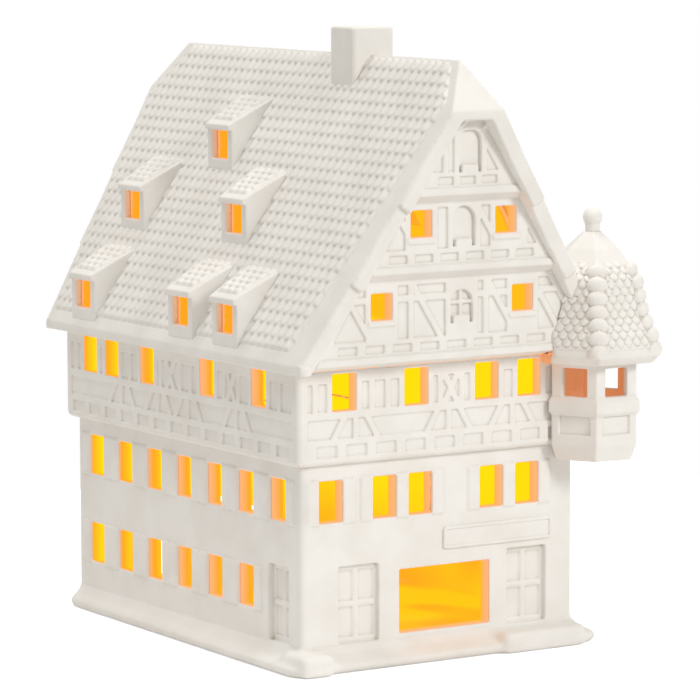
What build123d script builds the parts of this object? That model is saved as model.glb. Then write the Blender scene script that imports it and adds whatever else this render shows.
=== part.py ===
"""Half-timbered porcelain light house with a corner turret and a battery tealight inside."""
import os
from math import atan2, cos, degrees, hypot, radians, sin, tan

from build123d import *

# Body of the house: front gable towards -Y, turret at the +X, -Y corner, origin under the middle
width = 86.0
depth = 119.4
wall = 4.2
base_height = 6.5
lower_height = 47.7
jetty = 2.4
jetty_chamfer = 1.0
upper_height = 24.5

# Base: a slab with a swelling foot, deeper under the front than under the back
foot_out_front = 6.2
foot_out_rear = 3.2
foot_swell_height = 2.2
foot_cove_height = 4.2
foot_cove_share = 0.35
foot_tuck = 1.2
foot_corner = 5.0
wall_corner = 1.8
step_height = 5.6
step_out = 1.2
corner_step_length = 10.0
door_step_length = 27.0
step_corner = 2.0
step_edge = 1.2

# Lower storey openings, blind on the right side; stations along a wall are shares of its half length
window_width = 7.6
window_height = 11.2
lower_row_sill = 7.4
upper_row_drop = 4.3
blind_depth = 1.6
side_window_count = 7
side_window_margin = 11.3
front_window_stations = (-0.79, -0.405, -0.145, 0.38, 0.645)
shop_window_station = 0.036
shop_window_width = 28.7
shop_window_height = 17.0
shop_window_sill = 1.2
door_width = 12.6
side_door_width = 10.2
door_height = 20.6
door_recess = 1.6
door_panel_margin = 1.3
door_panel_depth = 0.5
left_door_station = -0.59
right_door_station = 0.645
side_door_station = 0.815
shutter_out = 0.4
shutter_width = 3.4
shutter_gap = 0.6
access_gap = 1.5
access_side_height = 12.0
access_rise = 9.5

# Half-timbering: infill panels sunk between the timbers
relief = 0.6
timber = 1.5
corner_post = 3.0
dentil_width = 6.4
dentil_gap = 2.7
dentil_height = 3.4
dentil_lift = 0.8
brace_row_lift = 6.6
brace_row_height = 5.4
brace_lean = 3.2
brace_offset = 5.2
window_row_lift = 13.8
window_row_height = 7.6
cross_angle = 62.0
jetty_window_height = 10.0
front_jetty_stations = (-0.685, -0.195, 0.295, 0.595)
side_jetty_stations = (-0.767, -0.57, -0.253, 0.262, 0.688)
front_brace_stations = (-0.608, 0.03, 0.476)
side_brace_stations = (-0.49, -0.165, 0.095, 0.5)
front_stud_stations = (-0.88, -0.5, -0.39, -0.03, 0.12, 0.8)
side_stud_stations = (-0.9, -0.41, -0.14, 0.03, 0.12, 0.4, 0.52, 0.85)
front_cross_stations = (0.045,)
side_cross_stations = (-0.055, 0.46)

# Roof with half-hipped gables
pitch = 58.0
roof_thickness = 4.2
eave_out = 2.8
eave_lip = 2.2
verge_out = 5.9
verge_lean = 0.155
hip_drop = 13.0
hip_run = 8.7

# Gable wall, stepping outwards storey by storey
stage_heights = (23.1, 19.9)
cornice_out = 5.5
stage_out = 2.6
cove_height = 1.9
bead_height = 1.6
bead_out = 0.6
gable_window_width = 6.8
gable_window_height = 7.2
gable_window_lifts = (12.8, 10.8)
gable_window_shares = ((-0.674, 0.608), (-0.597, 0.649))
niche_width = 7.0
niche_depth = 1.3
niche_lifts = (10.8, 7.9, 7.4)
niche_heights = (8.9, 10.7, 11.4)
niche_offsets = (1.6, 0.6, 0.8)
niche_sill_width = 5.0
niche_sill_height = 2.0
gable_dentil_widths = (6.0, 5.7, 4.9)
gable_dentil_gaps = (2.4, 2.2, 1.9)
gable_dentil_edge = 0.6
gable_dentil_height = 2.4
gable_dentil_lift = 4.2
gable_frame_lift = 7.6
gable_frame_head = 1.4
gable_edge = 1.8
gable_rail_drop = 3.5

# Upright (0) and falling (1) timbers of the three gable stages, at shares of the half width there
gable_timbers = (((-0.87, 1), (-0.4, 0), (-0.26, 1), (0.26, 0), (0.4, 1), (0.79, 1)),
                 ((-0.79, 1), (0.37, 1), (0.9, 0)),
                 ((-0.7, 0), (0.76, 1)))

# Chimney astride the ridge
chimney_width = 13.2
chimney_depth = 12.0
chimney_rise = 7.2
chimney_x = 0.5
chimney_y = -21.4
chimney_round = 1.6

# Tile courses pressed into the slopes, inside smooth borders along the roof's edges
course_length = 3.45
course_step = 0.5
course_eave_border = 3.4
course_ridge_border = 0.6
course_front_borders = (9.0, 5.0, 3.0)
course_rear_borders = (1.2, 1.2, 3.0)

# Dormers: share of the slope's run at the front face and share of the half depth along the roof
dormer_places = ((0.432, 0.283), (0.666, 0.752), (0.666, -0.135),
                 (0.979, 0.775), (0.979, -0.089), (0.979, -0.462))
dormer_height = 13.5
dormer_front_width = 12.4
dormer_back_width = 18.0
dormer_pitch = 28.6
dormer_lip = 1.0
dormer_lip_height = 1.6
dormer_window_width = 8.2
dormer_window_height = 8.4
dormer_window_lift = 3.5

# Turret: a hexagonal oriel at the corner, one face parallel to the front
turret_sides = 6
turret_out_x = 0.9
turret_out_y = 1.5
turret_radius = 12.9
turret_wall = 2.2
turret_hang = 3.8
turret_taper_height = 4.2
turret_foot_radius = 11.3
turret_floor_lift = 9.6
turret_sill_radius = 13.9
turret_sill_lift = 13.2
turret_sill_height = 4.0
turret_sill_chamfer = 1.2
turret_window_width = 7.2
turret_window_height = 7.8
turret_panel_width = 9.0
turret_panel_height = 5.4
turret_panel_lift = 7.0
turret_head_band = 1.2
turret_window_angles = (-60, 0, 60, 120)
turret_eave_radius = 19.7
turret_eave_height = 2.2
turret_skirt_radius = 18.0
turret_skirt_height = 6.0
turret_waist_radius = 15.7
turret_waist_height = 4.0
turret_shoulder_radius = 13.6
turret_shoulder_height = 10.2
turret_crown_radius = 7.6
turret_crown_height = 7.6
turret_neck_radius = 2.4
turret_neck_height = 4.4
turret_trim = 16.0
finial_neck_radius = 1.9
finial_neck_height = 2.2
finial_ball_radius = 2.5
finial_sink = 0.9

# Battery tealight standing on the floor just inside the rear doorway
clearance = 0.2
light_radius = 18.5
light_height = 13.0
light_inset = 23.2
light_wall = 1.4
light_draft = 0.8
dish_depth = 2.4
dish_rim = 4.0
flame_radius = 5.1
flame_height = 9.0
flame_wall = 1.0
flame_belly_share = 0.25
flame_waist_share = 0.5
flame_shoulder_share = 0.67
flame_seat_radius = 3.9
light_base_thickness = 3.0
light_foot_gap = 0.6
cell_inset = 8.5
cell_height = 3.2
cover_margin = 1.8
cover_thickness = 1.5
cover_offset = -4.2
cover_flange = 1.0
coin_slot_length = 12.0
coin_slot_width = 1.8
coin_slot_depth = 0.7
contact_width = 5.0
contact_thickness = 0.5
contact_rise = 1.6
board_width = 12.0
board_thickness = 1.0
lamp_radius = 2.5
lamp_height = 5.4
lamp_dome_share = 0.9
lamp_flange_radius = 2.9
lamp_flange_height = 1.0
switch_inset = 6.1
switch_length = 4.6
switch_width = 2.8
switch_travel = 2.8
switch_flange = 0.9

# Heights and half lengths that follow from the driving sizes
half_width = width / 2
half_depth = depth / 2
upper_half_width = half_width + jetty
upper_half_depth = half_depth + jetty
lower_top = base_height + lower_height
lower_row_z = base_height + lower_row_sill
upper_row_z = lower_top - upper_row_drop - window_height
soffit = lower_top + upper_height
through = 2 * wall
open_sides = ("front", "left")
slope = tan(radians(pitch))
eave_x = upper_half_width + eave_out
eave_z = soffit + eave_lip
ridge_z = eave_z + slope * eave_x
under_ridge = ridge_z - roof_thickness / cos(radians(pitch))
soffit_x = (under_ridge - soffit) / slope
verge_base = upper_half_depth + verge_out
hip_eave_z = ridge_z - hip_drop
hip_foot_z = hip_eave_z - eave_lip
hip_eave = verge_base + verge_lean * (hip_eave_z - eave_z)
ridge_end = hip_eave - hip_run
hip_layer = roof_thickness * hypot(hip_drop, hip_run) / hip_drop
hip_foot = hip_eave - hip_layer - eave_lip * hip_run / hip_drop
dormer_rise = tan(radians(dormer_pitch))
dormer_depth = dormer_height / (slope - dormer_rise)
gable_faces = [upper_half_depth + cornice_out + i * stage_out for i in range(len(niche_lifts))]
stage_floors = [soffit, soffit + stage_heights[0], soffit + sum(stage_heights)]
gable_top = hip_foot_z + (hip_foot - gable_faces[2]) * hip_drop / hip_run
reach = 2 * (width + depth)
light_y = half_depth - light_inset
dish_radius = light_radius - dish_rim
cell_radius = light_radius - cell_inset
cover_radius = cell_radius + cover_margin
board_length = 2 * cell_radius
switch_offset = light_radius - switch_inset


def verge(height):
    """Distance of the roof's end edge from the middle, at a height."""
    return verge_base + verge_lean * (height - eave_z)


def roof_half(height):
    """Half width between the two roof slabs' undersides, at a height."""
    return (under_ridge - height) / slope


def wall_planes(side, across, along):
    """Plan plane and face plane of one outer wall, and half its length."""
    facing, run, distance, half = {
        "front": ((0, -1, 0), (1, 0, 0), along, across),
        "rear": ((0, 1, 0), (-1, 0, 0), along, across),
        "left": ((-1, 0, 0), (0, -1, 0), across, along),
        "right": ((1, 0, 0), (0, 1, 0), across, along),
    }[side]
    origin = (facing[0] * distance, facing[1] * distance, 0)
    plan = Plane(origin=origin, x_dir=run, z_dir=(0, 0, 1))
    face = Plane(origin=origin, x_dir=run, z_dir=facing)
    return plan, face, half


def raise_slab(plan, half, bottom, height):
    """A wall slab with mitred ends."""
    with BuildSketch(plan.offset(bottom)) as outline:
        Polygon((-half, 0), (half, 0), (half - wall, wall), (wall - half, wall), align=None)
    extrude(outline.sketch, amount=height)


def round_corners(across, along):
    """Round the ends of a wall slab where they form a corner of the house."""
    with BuildSketch(Plane.XY) as corners:
        RectangleRounded(2 * across, 2 * along, wall_corner)
    extrude(corners.sketch, amount=reach, mode=Mode.INTERSECT)


def add_shutters(face, stations, sill, gap):
    """Raised shutter leaves beside each opening, in shallow relief."""
    offset = (window_width + shutter_width) / 2 + gap
    with BuildSketch(face) as leaves:
        for end in (-1, 1):
            with Locations(*[(s + end * offset, sill + window_height / 2) for s in stations]):
                Rectangle(shutter_width, window_height)
    extrude(leaves.sketch, amount=shutter_out)


def cut_windows(face, stations, sill, opening_width, opening_height, cut_depth):
    """Rectangular openings at stations along a wall, cut through it or blind."""
    with BuildSketch(face) as openings:
        with Locations(*[(s, sill + opening_height / 2) for s in stations]):
            Rectangle(opening_width, opening_height)
    extrude(openings.sketch, amount=-cut_depth, mode=Mode.SUBTRACT)


def cut_door(face, station, opening_width):
    """A blind double-leaf door: a recess with a pair of sunk panels on each leaf."""
    leaf = opening_width / 2
    panel_height = (door_height - 3 * door_panel_margin) / 2
    with BuildSketch(face) as recess:
        with Locations((station, base_height + door_height / 2)):
            Rectangle(opening_width, door_height)
    extrude(recess.sketch, amount=-door_recess, mode=Mode.SUBTRACT)
    with BuildSketch(face.offset(-door_recess)) as panels:
        with Locations((station, base_height + door_height / 2)):
            with GridLocations(leaf, panel_height + door_panel_margin, 2, 2):
                Rectangle(leaf - door_panel_margin, panel_height)
    extrude(panels.sketch, amount=-door_panel_depth, mode=Mode.SUBTRACT)


def sink_dentils(face, half, bottom, panel_width, gap, height):
    """A row of small sunk panels as long as the wall takes."""
    count = max(1, int((2 * half - gap) // (panel_width + gap)))
    fitted_width = min(panel_width, 2 * (half - gap))
    with BuildSketch(face) as panels:
        with Locations((0, bottom + height / 2)):
            with GridLocations(fitted_width + gap, 0, count, 1):
                Rectangle(fitted_width, height)
    extrude(panels.sketch, amount=-relief, mode=Mode.SUBTRACT)


def sink_brace_row(face, half, stations):
    """The sunk row under the windows: posts flanked by a pair of leaning braces."""
    bottom = lower_top + brace_row_lift
    middle = bottom + brace_row_height / 2
    brace_length = hypot(brace_row_height, brace_lean) + 2 * timber
    brace_angle = degrees(atan2(brace_row_height, brace_lean))
    with BuildSketch(face) as infill:
        with Locations((0, middle)):
            Rectangle(2 * (half - corner_post), brace_row_height)
        with Locations(*[(s * half, middle) for s in stations]):
            Rectangle(timber, brace_row_height, mode=Mode.SUBTRACT)
        for lean in (-1, 1):
            with Locations(*[(s * half + lean * brace_offset, middle) for s in stations]):
                Rectangle(brace_length, timber, rotation=-lean * brace_angle, mode=Mode.SUBTRACT)
    extrude(infill.sketch, amount=-relief, mode=Mode.SUBTRACT)


def sink_window_row(face, half, windows, studs, crosses):
    """The sunk row between the windows, leaving window frames, studs and crossed braces."""
    bottom = lower_top + window_row_lift
    middle = bottom + window_row_height / 2
    with BuildSketch(face) as infill:
        with Locations((0, middle)):
            Rectangle(2 * (half - corner_post), window_row_height)
        with Locations(*[(s * half, middle) for s in windows]):
            Rectangle(window_width + 2 * timber, window_row_height, mode=Mode.SUBTRACT)
        with Locations(*[(s * half, middle) for s in studs]):
            Rectangle(timber, window_row_height, mode=Mode.SUBTRACT)
        for lean in (-1, 1):
            with Locations(*[(s * half, middle) for s in crosses]):
                Rectangle(2 * window_row_height, timber, rotation=lean * cross_angle, mode=Mode.SUBTRACT)
    extrude(infill.sketch, amount=-relief, mode=Mode.SUBTRACT)


def dress_upper_wall(side, windows, braces, studs, crosses):
    """Half-timbering and windows of a jettied wall."""
    face, half = wall_planes(side, upper_half_width, upper_half_depth)[1:]
    sink_dentils(face, half, lower_top + jetty_chamfer + dentil_lift, dentil_width, dentil_gap, dentil_height)
    sink_brace_row(face, half, braces)
    sink_window_row(face, half, windows, studs, crosses)
    cut_windows(face, [s * half for s in windows], lower_top + window_row_lift,
                window_width, jetty_window_height, through if side in open_sides else blind_depth)


def dress_gable_stage(face, stage, floor, head):
    """Half-timbering, niche and windows of one stage of a gable."""
    dentil_bottom = floor + gable_dentil_lift
    sink_dentils(face, roof_half(dentil_bottom + gable_dentil_height) - gable_dentil_edge, dentil_bottom,
                 gable_dentil_widths[stage], gable_dentil_gaps[stage], gable_dentil_height)
    bottom = floor + gable_frame_lift
    top = head - gable_frame_head
    middle = (bottom + top) / 2
    edge_low = roof_half(bottom) - gable_edge
    edge_high = roof_half(top) - gable_edge
    niche_x = niche_offsets[stage]
    niche_foot = floor + niche_lifts[stage]
    niche_spring = niche_foot + niche_heights[stage] - niche_width / 2
    windows = []
    if stage < len(gable_window_lifts):
        sill = floor + gable_window_lifts[stage]
        windows = [share * roof_half(sill + gable_window_height / 2) for share in gable_window_shares[stage]]
    with BuildSketch(face) as infill:
        Polygon((-edge_low, bottom), (edge_low, bottom), (edge_high, top), (-edge_high, top), align=None)
        with Locations((niche_x, middle)):
            Rectangle(niche_width + 2 * timber, top - bottom, mode=Mode.SUBTRACT)
        for window_x in windows:
            with Locations((window_x, middle)):
                Rectangle(gable_window_width + 2 * timber, top - bottom, mode=Mode.SUBTRACT)
        if stage == 0:
            with Locations((0, top - gable_rail_drop)):
                Rectangle(2 * edge_low, timber, mode=Mode.SUBTRACT)
        for share, falling in gable_timbers[stage]:
            with Locations((share * roof_half(middle), middle)):
                Rectangle(2 * (top - bottom), timber, rotation=90 + falling * (90 - pitch),
                          mode=Mode.SUBTRACT)
    extrude(infill.sketch, amount=-relief, mode=Mode.SUBTRACT)
    if windows:
        cut_windows(face, windows, sill, gable_window_width, gable_window_height, through)
    with BuildSketch(face) as niche:
        with Locations((niche_x, (niche_foot + niche_spring) / 2)):
            Rectangle(niche_width, niche_spring - niche_foot)
        with Locations((niche_x, niche_spring)):
            Circle(niche_width / 2)
        with Locations((niche_x, niche_foot + niche_sill_height / 2)):
            Rectangle(niche_sill_width, niche_sill_height, mode=Mode.SUBTRACT)
    extrude(niche.sketch, amount=-niche_depth, mode=Mode.SUBTRACT)


def cut_dormer_window(sign, run_share, along_share):
    """The opening from a dormer's front through the roof slab behind it."""
    front_x = run_share * eave_x
    sill = ridge_z - slope * front_x + dormer_window_lift
    tunnel = (dormer_window_lift + dormer_window_height + ridge_z - under_ridge) / slope + wall
    front = Plane(origin=(sign * front_x, along_share * upper_half_depth, 0),
                  x_dir=(0, sign, 0), z_dir=(sign, 0, 0))
    with BuildSketch(front) as opening:
        with Locations((0, sill + dormer_window_height / 2)):
            Rectangle(dormer_window_width, dormer_window_height)
    extrude(opening.sketch, amount=-tunnel, mode=Mode.SUBTRACT)


def dormer_plan(sign, run_share, along_share):
    """Corners of a dormer seen from above: it flares from its lip to where it meets the slope."""
    lip_x = run_share * eave_x + dormer_lip
    back_x = run_share * eave_x - dormer_depth
    middle_y = along_share * upper_half_depth
    front_half = dormer_front_width / 2
    back_half = dormer_back_width / 2
    return [(sign * lip_x, middle_y - front_half), (sign * lip_x, middle_y + front_half),
            (sign * back_x, middle_y + back_half), (sign * back_x, middle_y - back_half)]


def course_cutter(sign):
    """What the tile courses take off a slope, clear of its borders, its dormers and the chimney."""
    run = eave_x / cos(radians(pitch))
    count = int((run - course_eave_border - course_ridge_border) // course_length)
    slope_view = Plane(origin=(sign * eave_x, 0, eave_z),
                       x_dir=(-sign * cos(radians(pitch)), 0, sin(radians(pitch))), z_dir=(0, sign, 0))
    feet = [course_eave_border + course_length * i for i in range(count + 1)]
    teeth = [(feet[0], wall), (feet[0], 0)]
    for foot in feet[1:]:
        teeth += [(foot, -course_step), (foot, 0)]
    side_view = []
    for end, borders in ((-1, course_front_borders), (1, course_rear_borders)):
        edges = [(verge_base, eave_z), (hip_eave, hip_eave_z), (ridge_end, ridge_z)]
        corners = [(end * (edge - border), height) for (edge, height), border in zip(edges, borders)]
        side_view += corners[::end]
    with BuildPart() as cutter:
        with BuildSketch(slope_view):
            Polygon(*teeth, (feet[-1], wall), align=None)
        extrude(amount=reach, both=True)
        with BuildSketch(Plane.YZ):
            Polygon(*side_view, align=None)
        extrude(amount=reach, both=True, mode=Mode.INTERSECT)
        with BuildSketch(Plane.XY):
            for run_share, along_share in dormer_places:
                Polygon(*dormer_plan(sign, run_share, along_share), align=None)
            with Locations((chimney_x, chimney_y)):
                Rectangle(chimney_width, chimney_depth)
        extrude(amount=reach, mode=Mode.SUBTRACT)
    return cutter.part


def finish(piece, name):
    """Label a finished piece and write it out."""
    piece.part.label = name
    export_step(piece.part, f"parts/{name}.step")


os.makedirs("parts", exist_ok=True)

# Base slab with its swelling foot, flat underneath, and two door steps
foot_sections = ((0, 1 - foot_tuck / foot_out_front), (foot_swell_height, 1),
                 (foot_cove_height, foot_cove_share), (base_height, 0))
with BuildPart() as base:
    for height, share in foot_sections:
        front = half_depth + share * foot_out_front
        rear = half_depth + share * foot_out_rear
        with BuildSketch(Plane.XY.offset(height)) as outline:
            Polygon((-half_width - share * foot_out_front, -front),
                    (half_width + share * foot_out_front, -front),
                    (half_width + share * foot_out_rear, rear),
                    (-half_width - share * foot_out_rear, rear), align=None)
            fillet(outline.vertices(), wall_corner + share * (foot_corner - wall_corner))
    loft(ruled=True)
    corner_x = -half_width - foot_out_front + foot_corner
    step_depth = foot_out_front + step_out + wall
    step_y = -half_depth + wall - step_depth / 2
    with BuildSketch(Plane.XY) as steps:
        with Locations((corner_x + corner_step_length / 2 - foot_corner / 2, step_y)):
            Rectangle(corner_step_length, step_depth)
        with Locations((right_door_station * half_width + step_corner, step_y)):
            Rectangle(door_step_length, step_depth)
        fillet(steps.vertices().group_by(Axis.Y)[0], step_corner)
    extrude(amount=step_height)
    step_rims = base.edges().filter_by_position(Axis.Z, step_height, step_height)
    fillet(step_rims.filter_by(Axis.X).group_by(Axis.Y)[0], step_edge)
finish(base, "base")

# Lower storey
front_plan, front_face, front_half = wall_planes("front", half_width, half_depth)
front_stations = [s * front_half for s in front_window_stations]
with BuildPart() as lower_front_wall:
    raise_slab(front_plan, front_half, base_height, lower_height)
    round_corners(half_width, half_depth)
    add_shutters(front_face, front_stations, upper_row_z, 0)
    cut_windows(front_face, front_stations, upper_row_z, window_width, window_height, through)
    cut_windows(front_face, [shop_window_station * front_half],
                base_height + shop_window_sill, shop_window_width, shop_window_height, through)
    cut_door(front_face, left_door_station * front_half, door_width)
    cut_door(front_face, right_door_station * front_half, door_width)
finish(lower_front_wall, "lower_front_wall")

side_window_pitch = (depth - 2 * side_window_margin) / (side_window_count - 1)
side_stations = [side_window_margin - half_depth + i * side_window_pitch for i in range(side_window_count)]
left_plan, left_face, side_half = wall_planes("left", half_width, half_depth)
with BuildPart() as lower_left_wall:
    raise_slab(left_plan, side_half, base_height, lower_height)
    round_corners(half_width, half_depth)
    add_shutters(left_face, side_stations, upper_row_z, shutter_gap)
    add_shutters(left_face, side_stations[:-1], lower_row_z, shutter_gap)
    cut_windows(left_face, side_stations, upper_row_z, window_width, window_height, through)
    cut_windows(left_face, side_stations[:-1], lower_row_z, window_width, window_height, through)
    cut_door(left_face, side_door_station * side_half, side_door_width)
finish(lower_left_wall, "lower_left_wall")

right_plan, right_face = wall_planes("right", half_width, half_depth)[:2]
with BuildPart() as lower_right_wall:
    raise_slab(right_plan, side_half, base_height, lower_height)
    round_corners(half_width, half_depth)
    add_shutters(right_face, side_stations, upper_row_z, shutter_gap)
    add_shutters(right_face, side_stations, lower_row_z, shutter_gap)
    cut_windows(right_face, side_stations, upper_row_z, window_width, window_height, blind_depth)
    cut_windows(right_face, side_stations, lower_row_z, window_width, window_height, blind_depth)
finish(lower_right_wall, "lower_right_wall")

rear_plan, rear_face, rear_half = wall_planes("rear", half_width, half_depth)
access_half = light_radius + access_gap
access_spring = base_height + access_side_height
with BuildPart() as lower_rear_wall:
    raise_slab(rear_plan, rear_half, base_height, lower_height)
    round_corners(half_width, half_depth)
    with BuildSketch(rear_face):
        with BuildLine():
            ThreePointArc((-access_half, access_spring), (0, access_spring + access_rise),
                          (access_half, access_spring))
            Polyline((access_half, access_spring), (access_half, base_height),
                     (-access_half, base_height), (-access_half, access_spring))
        make_face()
    extrude(amount=-2 * wall, mode=Mode.SUBTRACT)
finish(lower_rear_wall, "lower_rear_wall")

# Jettied storey: end walls stop under the gables, side walls rise to the roof slabs
for side in ("front", "rear"):
    plan = wall_planes(side, upper_half_width, upper_half_depth)[0]
    with BuildPart() as upper_wall:
        raise_slab(plan, upper_half_width, lower_top, upper_height)
        foot_edges = upper_wall.edges().filter_by(Axis.X).group_by(Axis.Z)[0]
        chamfer(foot_edges.sort_by(SortBy.LENGTH)[-1], jetty_chamfer)
        round_corners(upper_half_width, upper_half_depth)
        dress_upper_wall(side, front_jetty_stations, front_brace_stations,
                         front_stud_stations, front_cross_stations)
    finish(upper_wall, f"upper_{side}_wall")

upper_side_walls = []
for side, sign in (("left", -1), ("right", 1)):
    plan = wall_planes(side, upper_half_width, upper_half_depth)[0]
    inner = upper_half_width - wall
    with BuildPart() as upper_wall:
        raise_slab(plan, upper_half_depth, lower_top, under_ridge - lower_top)
        foot_edges = upper_wall.edges().filter_by(Axis.Y).group_by(Axis.Z)[0]
        chamfer(foot_edges.sort_by(SortBy.LENGTH)[-1], jetty_chamfer)
        with BuildSketch(Plane.XZ):
            Polygon((sign * inner, lower_top), (sign * inner, under_ridge - slope * inner),
                    (sign * soffit_x, soffit), (sign * upper_half_width, soffit),
                    (sign * upper_half_width, lower_top), align=None)
        extrude(amount=reach, both=True, mode=Mode.INTERSECT)
        round_corners(upper_half_width, upper_half_depth)
        dress_upper_wall(side, *[[-sign * s for s in stations] for stations in (
            side_jetty_stations, side_brace_stations, side_stud_stations, side_cross_stations)])
    upper_side_walls.append(upper_wall)
    finish(upper_wall, f"upper_{side}_wall")

# Gable walls: a stepped section drawn once and trimmed to the roof's underside
section_front = []
section_back = []
below = upper_half_depth
for floor, outer in zip(stage_floors, gable_faces):
    ledge = floor + cove_height
    section_front += [(below, floor), (outer + bead_out, ledge),
                      (outer + bead_out, ledge + bead_height), (outer, ledge + bead_height)]
    section_back += [(below - wall, floor + wall), (outer - wall, floor + wall)]
    below = outer
section = [(upper_half_depth - wall, soffit)] + section_front
section += [(below, gable_top), (below - wall, gable_top)] + section_back[::-1]

gables = {}
for side, facing, run in (("front", (-1, 0, 0), (0, -1, 0)), ("rear", (1, 0, 0), (0, 1, 0))):
    with BuildPart() as gable:
        with BuildSketch(Plane(origin=(0, 0, 0), x_dir=run, z_dir=facing)):
            Polygon(*section, align=None)
        extrude(amount=upper_half_width, both=True)
        with BuildSketch(Plane.XZ):
            Polygon((-soffit_x, soffit), (soffit_x, soffit), (roof_half(gable_top), gable_top),
                    (-roof_half(gable_top), gable_top), align=None)
        extrude(amount=reach, both=True, mode=Mode.INTERSECT)
        for upper_wall in upper_side_walls:
            add(upper_wall.part, mode=Mode.SUBTRACT)
        for stage, floor in enumerate(stage_floors):
            face = wall_planes(side, upper_half_width, gable_faces[stage])[1]
            head = (stage_floors + [gable_top])[stage + 1]
            dress_gable_stage(face, stage, floor, head)
    gables[side] = gable
    finish(gable, f"{side}_gable")

# Roof slabs with a hole behind each dormer, and the two half-hips that close their ends
roof_side_view = [(verge(soffit), soffit), (verge(hip_foot_z), hip_foot_z), (hip_foot, hip_foot_z),
                  (ridge_end - hip_layer, ridge_z)]
roof_side_view += [(-distance, height) for distance, height in roof_side_view[::-1]]
roofs = {}
for side, sign in (("left", -1), ("right", 1)):
    with BuildPart() as roof:
        with BuildSketch(Plane.XZ):
            Polygon((0, ridge_z), (sign * eave_x, eave_z), (sign * eave_x, soffit),
                    (sign * soffit_x, soffit), (0, under_ridge), align=None)
        extrude(amount=reach, both=True)
        with BuildSketch(Plane.YZ):
            Polygon(*roof_side_view, align=None)
        extrude(amount=reach, both=True, mode=Mode.INTERSECT)
        for run_share, along_share in dormer_places:
            cut_dormer_window(sign, run_share, along_share)
        add(course_cutter(sign), mode=Mode.SUBTRACT)
    roofs[side] = roof
    finish(roof, f"{side}_roof")

for side, sign in (("front", -1), ("rear", 1)):
    with BuildPart() as hip:
        with BuildSketch(Plane.YZ):
            Polygon((sign * hip_eave, hip_eave_z), (sign * ridge_end, ridge_z),
                    (sign * (ridge_end - hip_layer), ridge_z), (sign * hip_foot, hip_foot_z),
                    (sign * verge(hip_foot_z), hip_foot_z), align=None)
        extrude(amount=eave_x, both=True)
        with BuildSketch(Plane.XZ):
            Polygon((0, ridge_z), (eave_x, eave_z), (-eave_x, eave_z), align=None)
        extrude(amount=reach, both=True, mode=Mode.INTERSECT)
    finish(hip, f"{side}_hip")

# Chimney, saddled over the ridge
with BuildPart() as chimney:
    with BuildSketch(Plane.XY.offset(ridge_z - chimney_width)):
        with Locations((chimney_x, chimney_y)):
            RectangleRounded(chimney_width, chimney_depth, chimney_round)
    extrude(amount=chimney_width + chimney_rise)
    fillet(chimney.faces().sort_by(Axis.Z)[-1].edges(), chimney_round / 2)
    with BuildSketch(Plane.XZ):
        Polygon((0, ridge_z), (eave_x, eave_z), (-eave_x, eave_z), align=None)
    extrude(amount=reach, both=True, mode=Mode.SUBTRACT)
finish(chimney, "chimney")

# Dormers: shed-roofed boxes that flare towards the main roof, with an open window
for side, sign in (("left", -1), ("right", 1)):
    for number, (run_share, along_share) in enumerate(dormer_places, 1):
        front_x = run_share * eave_x
        foot_z = ridge_z - slope * front_x
        middle_y = along_share * upper_half_depth
        lip_x = front_x + dormer_lip
        back_x = front_x - dormer_depth
        lip_z = foot_z + dormer_height - dormer_lip * dormer_rise
        with BuildPart() as dormer:
            with BuildSketch(Plane.XZ.offset(-middle_y)):
                Polygon((sign * front_x, foot_z),
                        (sign * front_x, foot_z + dormer_height - dormer_lip_height),
                        (sign * lip_x, lip_z - dormer_lip_height), (sign * lip_x, lip_z),
                        (sign * back_x, foot_z + slope * dormer_depth), align=None)
            extrude(amount=dormer_back_width / 2, both=True)
            with BuildSketch(Plane.XY):
                Polygon(*dormer_plan(sign, run_share, along_share), align=None)
            extrude(amount=reach, mode=Mode.INTERSECT)
            cut_dormer_window(sign, run_share, along_share)
        finish(dormer, f"{side}_dormer_{number}")

# Mass of the house that the turret is luted against
with BuildPart() as house_mass:
    with BuildSketch(Plane.XY.offset(base_height)):
        Rectangle(width, depth)
    extrude(amount=lower_height)
    with BuildSketch(Plane.XY.offset(lower_top)):
        Rectangle(2 * upper_half_width, 2 * upper_half_depth)
    extrude(amount=upper_height)
    with BuildSketch(Plane.XZ):
        Polygon((-eave_x, soffit), (eave_x, soffit), (eave_x, eave_z), (0, ridge_z),
                (-eave_x, eave_z), align=None)
    extrude(amount=gable_faces[0], both=True)

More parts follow.
